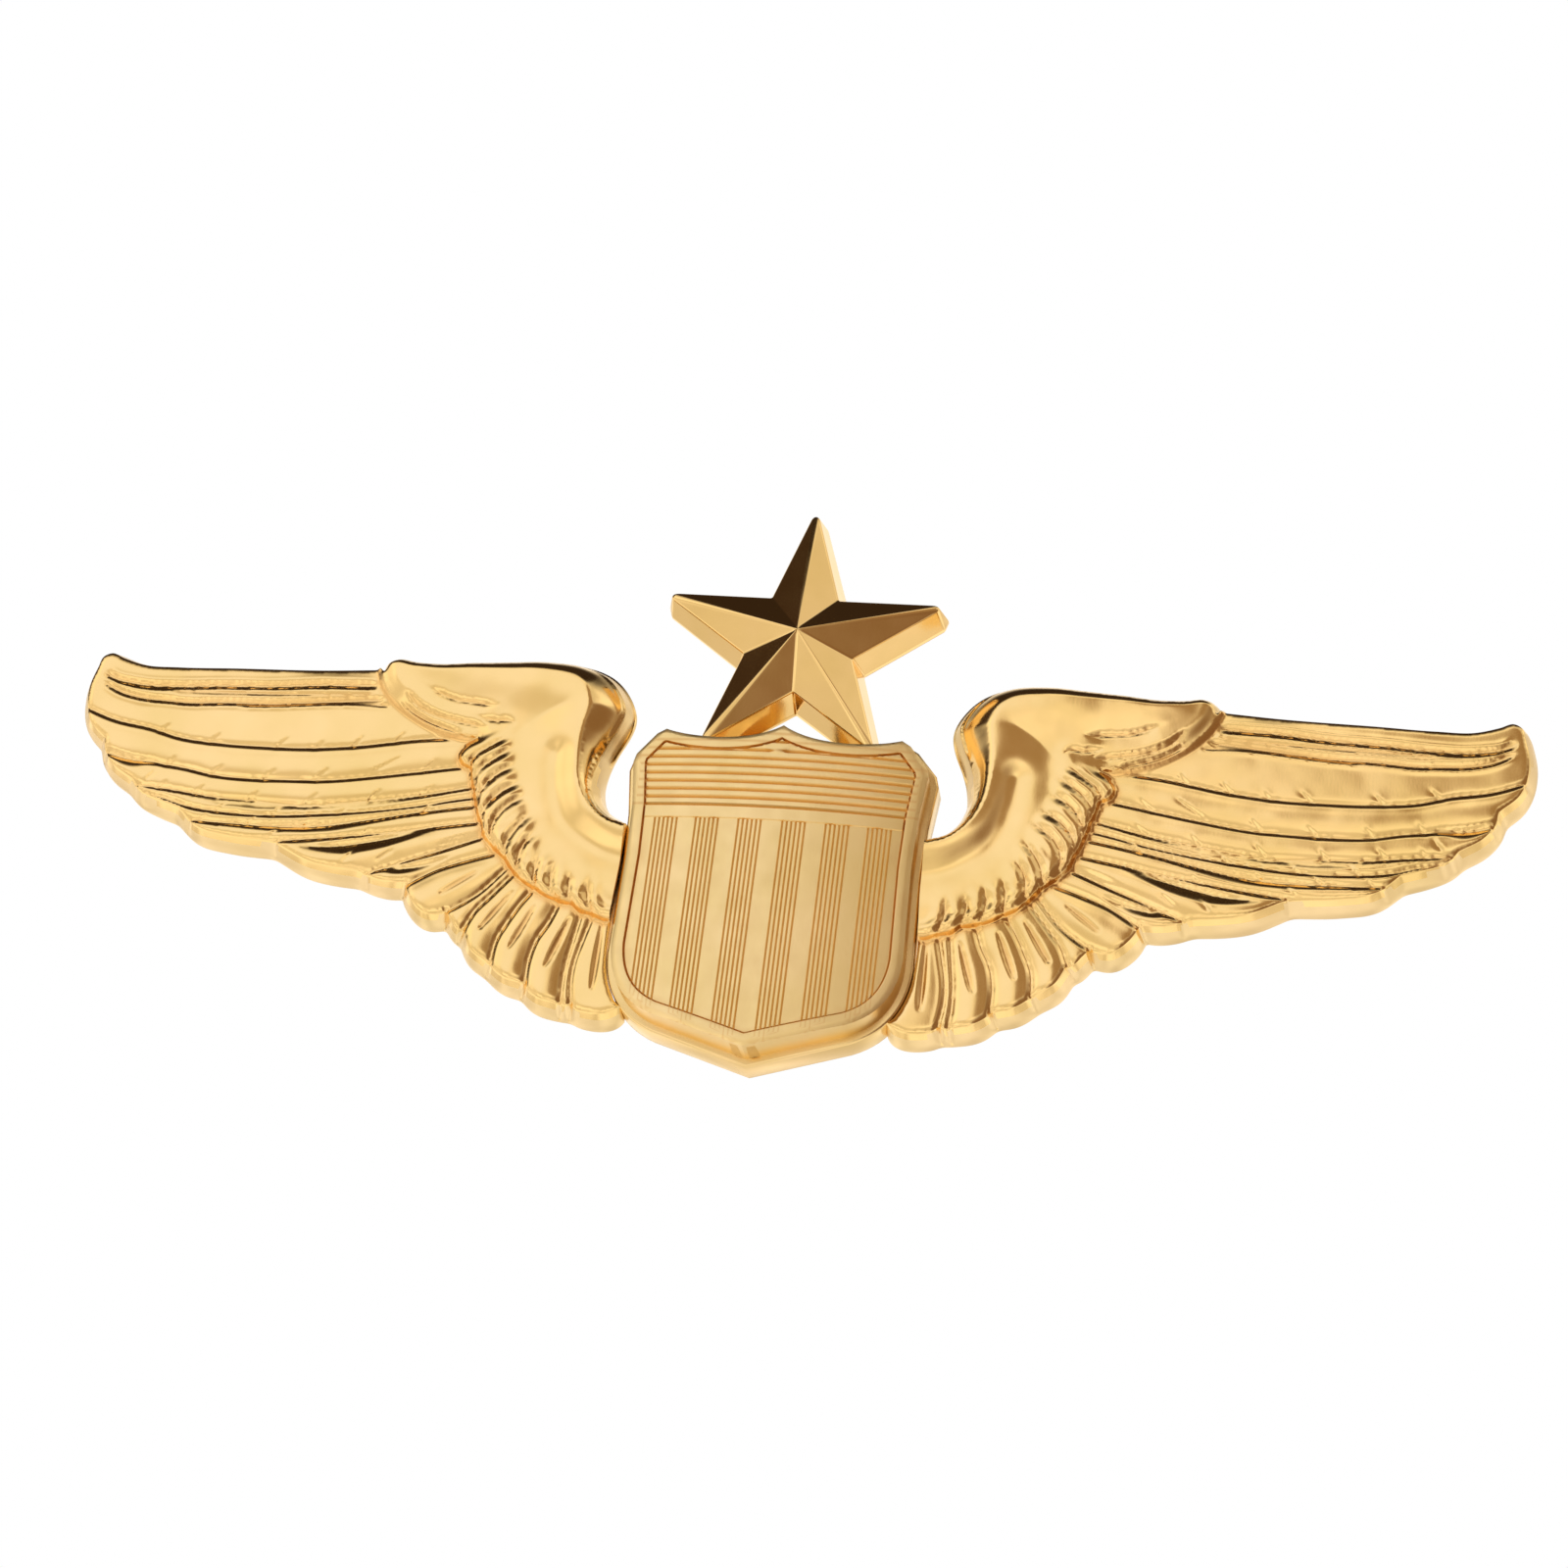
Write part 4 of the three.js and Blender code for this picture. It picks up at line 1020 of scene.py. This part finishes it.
inner = CLUTCH_RADIUS - CLUTCH_SHEET
CUP_PROFILE = [
    (CLUTCH_BORE, CLUTCH_FACE + 0.1), (CLUTCH_BORE + 0.1, CLUTCH_FACE), (inner - 0.2, CLUTCH_FACE),
    (inner + 0.1, CLUTCH_FACE + 0.04), (CLUTCH_RADIUS - 0.06, CLUTCH_FACE + 0.2),
    (CLUTCH_RADIUS, CLUTCH_FACE + 0.4), (CLUTCH_RADIUS, CLUTCH_FACE + 0.78),
    (CLUTCH_RADIUS - 0.05, CLUTCH_FACE + 0.89), (CLUTCH_RADIUS - 0.175, CLUTCH_FACE + 0.95),
    (inner + 0.05, CLUTCH_FACE + 0.89), (inner, CLUTCH_FACE + 0.78), (inner, CUP_FLOOR + 0.15),
    (inner - 0.06, CUP_FLOOR + 0.04), (inner - 0.18, CUP_FLOOR), (EYELET + 0.06, CUP_FLOOR),
    (EYELET, CUP_FLOOR + 0.05), (EYELET, FLARE - 0.02), (EYELET + 0.1, FLARE + 0.04),
    (EYELET + 0.4, FLARE + 0.14), (EYELET + 0.45, FLARE + 0.19), (EYELET + 0.38, FLARE + 0.225),
    (CLUTCH_BORE + 0.16, FLARE + 0.225), (CLUTCH_BORE + 0.04, FLARE + 0.17),
    (CLUTCH_BORE, FLARE + 0.08), (CLUTCH_BORE, CLUTCH_FACE + 0.1),
]
for name, (x, z) in POST_PLACES.items():
    cup = turned(f"drawn_cup_{name}", CUP_PROFILE, x, z, 120)
    smooth(cup, 40)
    finish_piece(cup, CUP_BRASS, f"clutch_{name}", "clutch_brass", f"cup_{name}")

# Clutch springs ---------------------------------------------------------------------------------
# The spring is one strip of hard brass folded into a seat and two ears that cross over each other.
# Pinching the ears together opens the jaws cut in them and frees the post.

SPRING_BRASS = gilt("spring_brass", (0.88, 0.67, 0.33), (0.5, 0.28, 0.1), 0.2, 0.1, 0.01, 0.003)


def softened_copy(node, name, width):
    """A copy of a pressed sheet piece, with its sharp arrises rolled over as tumbling leaves them."""
    piece = bpy.data.objects.new(name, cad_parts[node].data.copy())
    piece.data.name = name
    bpy.context.collection.objects.link(piece)
    only(piece)
    bpy.ops.object.mode_set(mode="EDIT")
    bpy.ops.mesh.select_all(action="SELECT")
    bpy.ops.mesh.remove_doubles(threshold=0.001 * MM)
    bpy.ops.mesh.dissolve_limited(angle_limit=math.radians(1))
    bpy.ops.object.mode_set(mode="OBJECT")
    modify(piece, "BEVEL", width=width * MM, segments=2, limit_method="ANGLE",
           angle_limit=math.radians(50), use_clamp_overlap=True)
    smooth(piece, 35)
    return piece


ARRIS = 0.05
for name in POST_PLACES:
    for node, label, body in (
        ("spring_seat", "spring_floor", "clutch"),
        ("ear_wide", "outer_ear", "wide_ear"),
        ("ear_narrow", "inner_ear", "narrow_ear"),
    ):
        piece = softened_copy(f"{node}_{name}", f"{label}_{name}", ARRIS)
        finish_piece(piece, SPRING_BRASS, f"{body}_{name}", "spring_brass", f"{node}_{name}")

# Studio -----------------------------------------------------------------------------------------
# A pale floor well below the pin, a white tent lit evenly with a darker ceiling and a brown wall
# to the right, and the camera low in front, looking up at the pin.

clear_selection()
bpy.ops.mesh.primitive_plane_add(size=3, location=(0, 0, -0.27))
floor = bpy.context.object
floor.name = "pale_floor"
paint = bpy.data.materials.new("floor_paint")
paint.use_nodes = True
paint.node_tree.nodes["Principled BSDF"].inputs["Base Color"].default_value = (0.93, 0.92, 0.9, 1)
paint.node_tree.nodes["Principled BSDF"].inputs["Roughness"].default_value = 0.7
floor.data.materials.append(paint)
floor.visible_glossy = False

lamp = bpy.data.objects.new("floor_lamp", bpy.data.lights.new("floor_lamp", "AREA"))
bpy.context.collection.objects.link(lamp)
lamp.location = (0, 0, 0.9)
lamp.data.size = 3
lamp.data.energy = 60
lamp.visible_glossy = False
lamp.visible_camera = False

world = bpy.data.worlds.new("tent")
bpy.context.scene.world = world
world.use_nodes = True
wn, wl = world.node_tree.nodes, world.node_tree.links
background = wn["Background"]
direction = wn.new("ShaderNodeTexCoord")


def glow(toward, narrow, wide):
    """One where a direction lies within narrow degrees of toward, zero beyond wide degrees."""
    dot = wn.new("ShaderNodeVectorMath")
    dot.operation = "DOT_PRODUCT"
    dot.inputs[1].default_value = Vector(toward).normalized()
    wl.new(direction.outputs["Generated"], dot.inputs[0])
    span = wn.new("ShaderNodeMapRange")
    span.interpolation_type = "SMOOTHSTEP"
    span.inputs["From Min"].default_value = math.cos(math.radians(wide))
    span.inputs["From Max"].default_value = math.cos(math.radians(narrow))
    wl.new(dot.outputs["Value"], span.inputs["Value"])
    return span.outputs["Result"]


def layer(under, amount, colour):
    mix = wn.new("ShaderNodeMix")
    mix.data_type = "RGBA"
    if isinstance(under, tuple):
        mix.inputs["A"].default_value = (*under, 1)
    else:
        wl.new(under, mix.inputs["A"])
    mix.inputs["B"].default_value = (*colour, 1)
    wl.new(amount, mix.inputs["Factor"])
    return mix.outputs["Result"]


folds = wn.new("ShaderNodeTexNoise")
folds.inputs["Scale"].default_value = 2.6
folds.inputs["Detail"].default_value = 1.5
wl.new(direction.outputs["Generated"], folds.inputs["Vector"])
shade = wn.new("ShaderNodeMapRange")
shade.inputs["From Min"].default_value = 0.4
shade.inputs["From Max"].default_value = 0.6
wl.new(folds.outputs["Fac"], shade.inputs["Value"])
tone = layer((0.78, 0.71, 0.61), shade.outputs["Result"], (1.2, 1.14, 1.06))
tone = layer(tone, glow((0.75, -0.62, -0.1), 24, 48), (0.25, 0.15, 0.085))
tone = layer(tone, glow((-0.29, -0.86, 0.41), 6, 16), (1.03, 1.03, 1.1))
tone = layer(tone, glow((0.21, -0.86, 0.46), 10, 17), (0.36, 0.24, 0.14))
tone = layer(tone, glow((-0.2, -0.05, 0.97), 30, 50), (0.035, 0.022, 0.015))
tone = layer(tone, glow((-0.85, -0.1, 0.6), 12, 30), (0.05, 0.03, 0.02))
seen = wn.new("ShaderNodeLightPath")
white = wn.new("ShaderNodeMix")
white.data_type = "RGBA"
wl.new(seen.outputs["Is Camera Ray"], white.inputs["Factor"])
wl.new(tone, white.inputs["A"])
white.inputs["B"].default_value = (1, 1, 1, 1)
wl.new(white.outputs["Result"], background.inputs["Color"])
background.inputs["Strength"].default_value = 1.0

camera = bpy.data.objects.new("camera", bpy.data.cameras.new("camera"))
bpy.context.collection.objects.link(camera)
right, up, back = (0.9864, 0.118, 0.1166), (-0.0536, -0.4394, 0.8965), (0.157, -0.890, -0.427)
turn = Matrix((right, up, back)).transposed().to_4x4()
camera.matrix_world = Matrix.Translation((0.0348, -0.1985, -0.0876)) @ turn
camera.data.lens = 98.9
camera.data.sensor_width = 36
camera.data.clip_start = 0.01
bpy.context.scene.camera = camera
bpy.context.scene.view_settings.view_transform = "Standard"
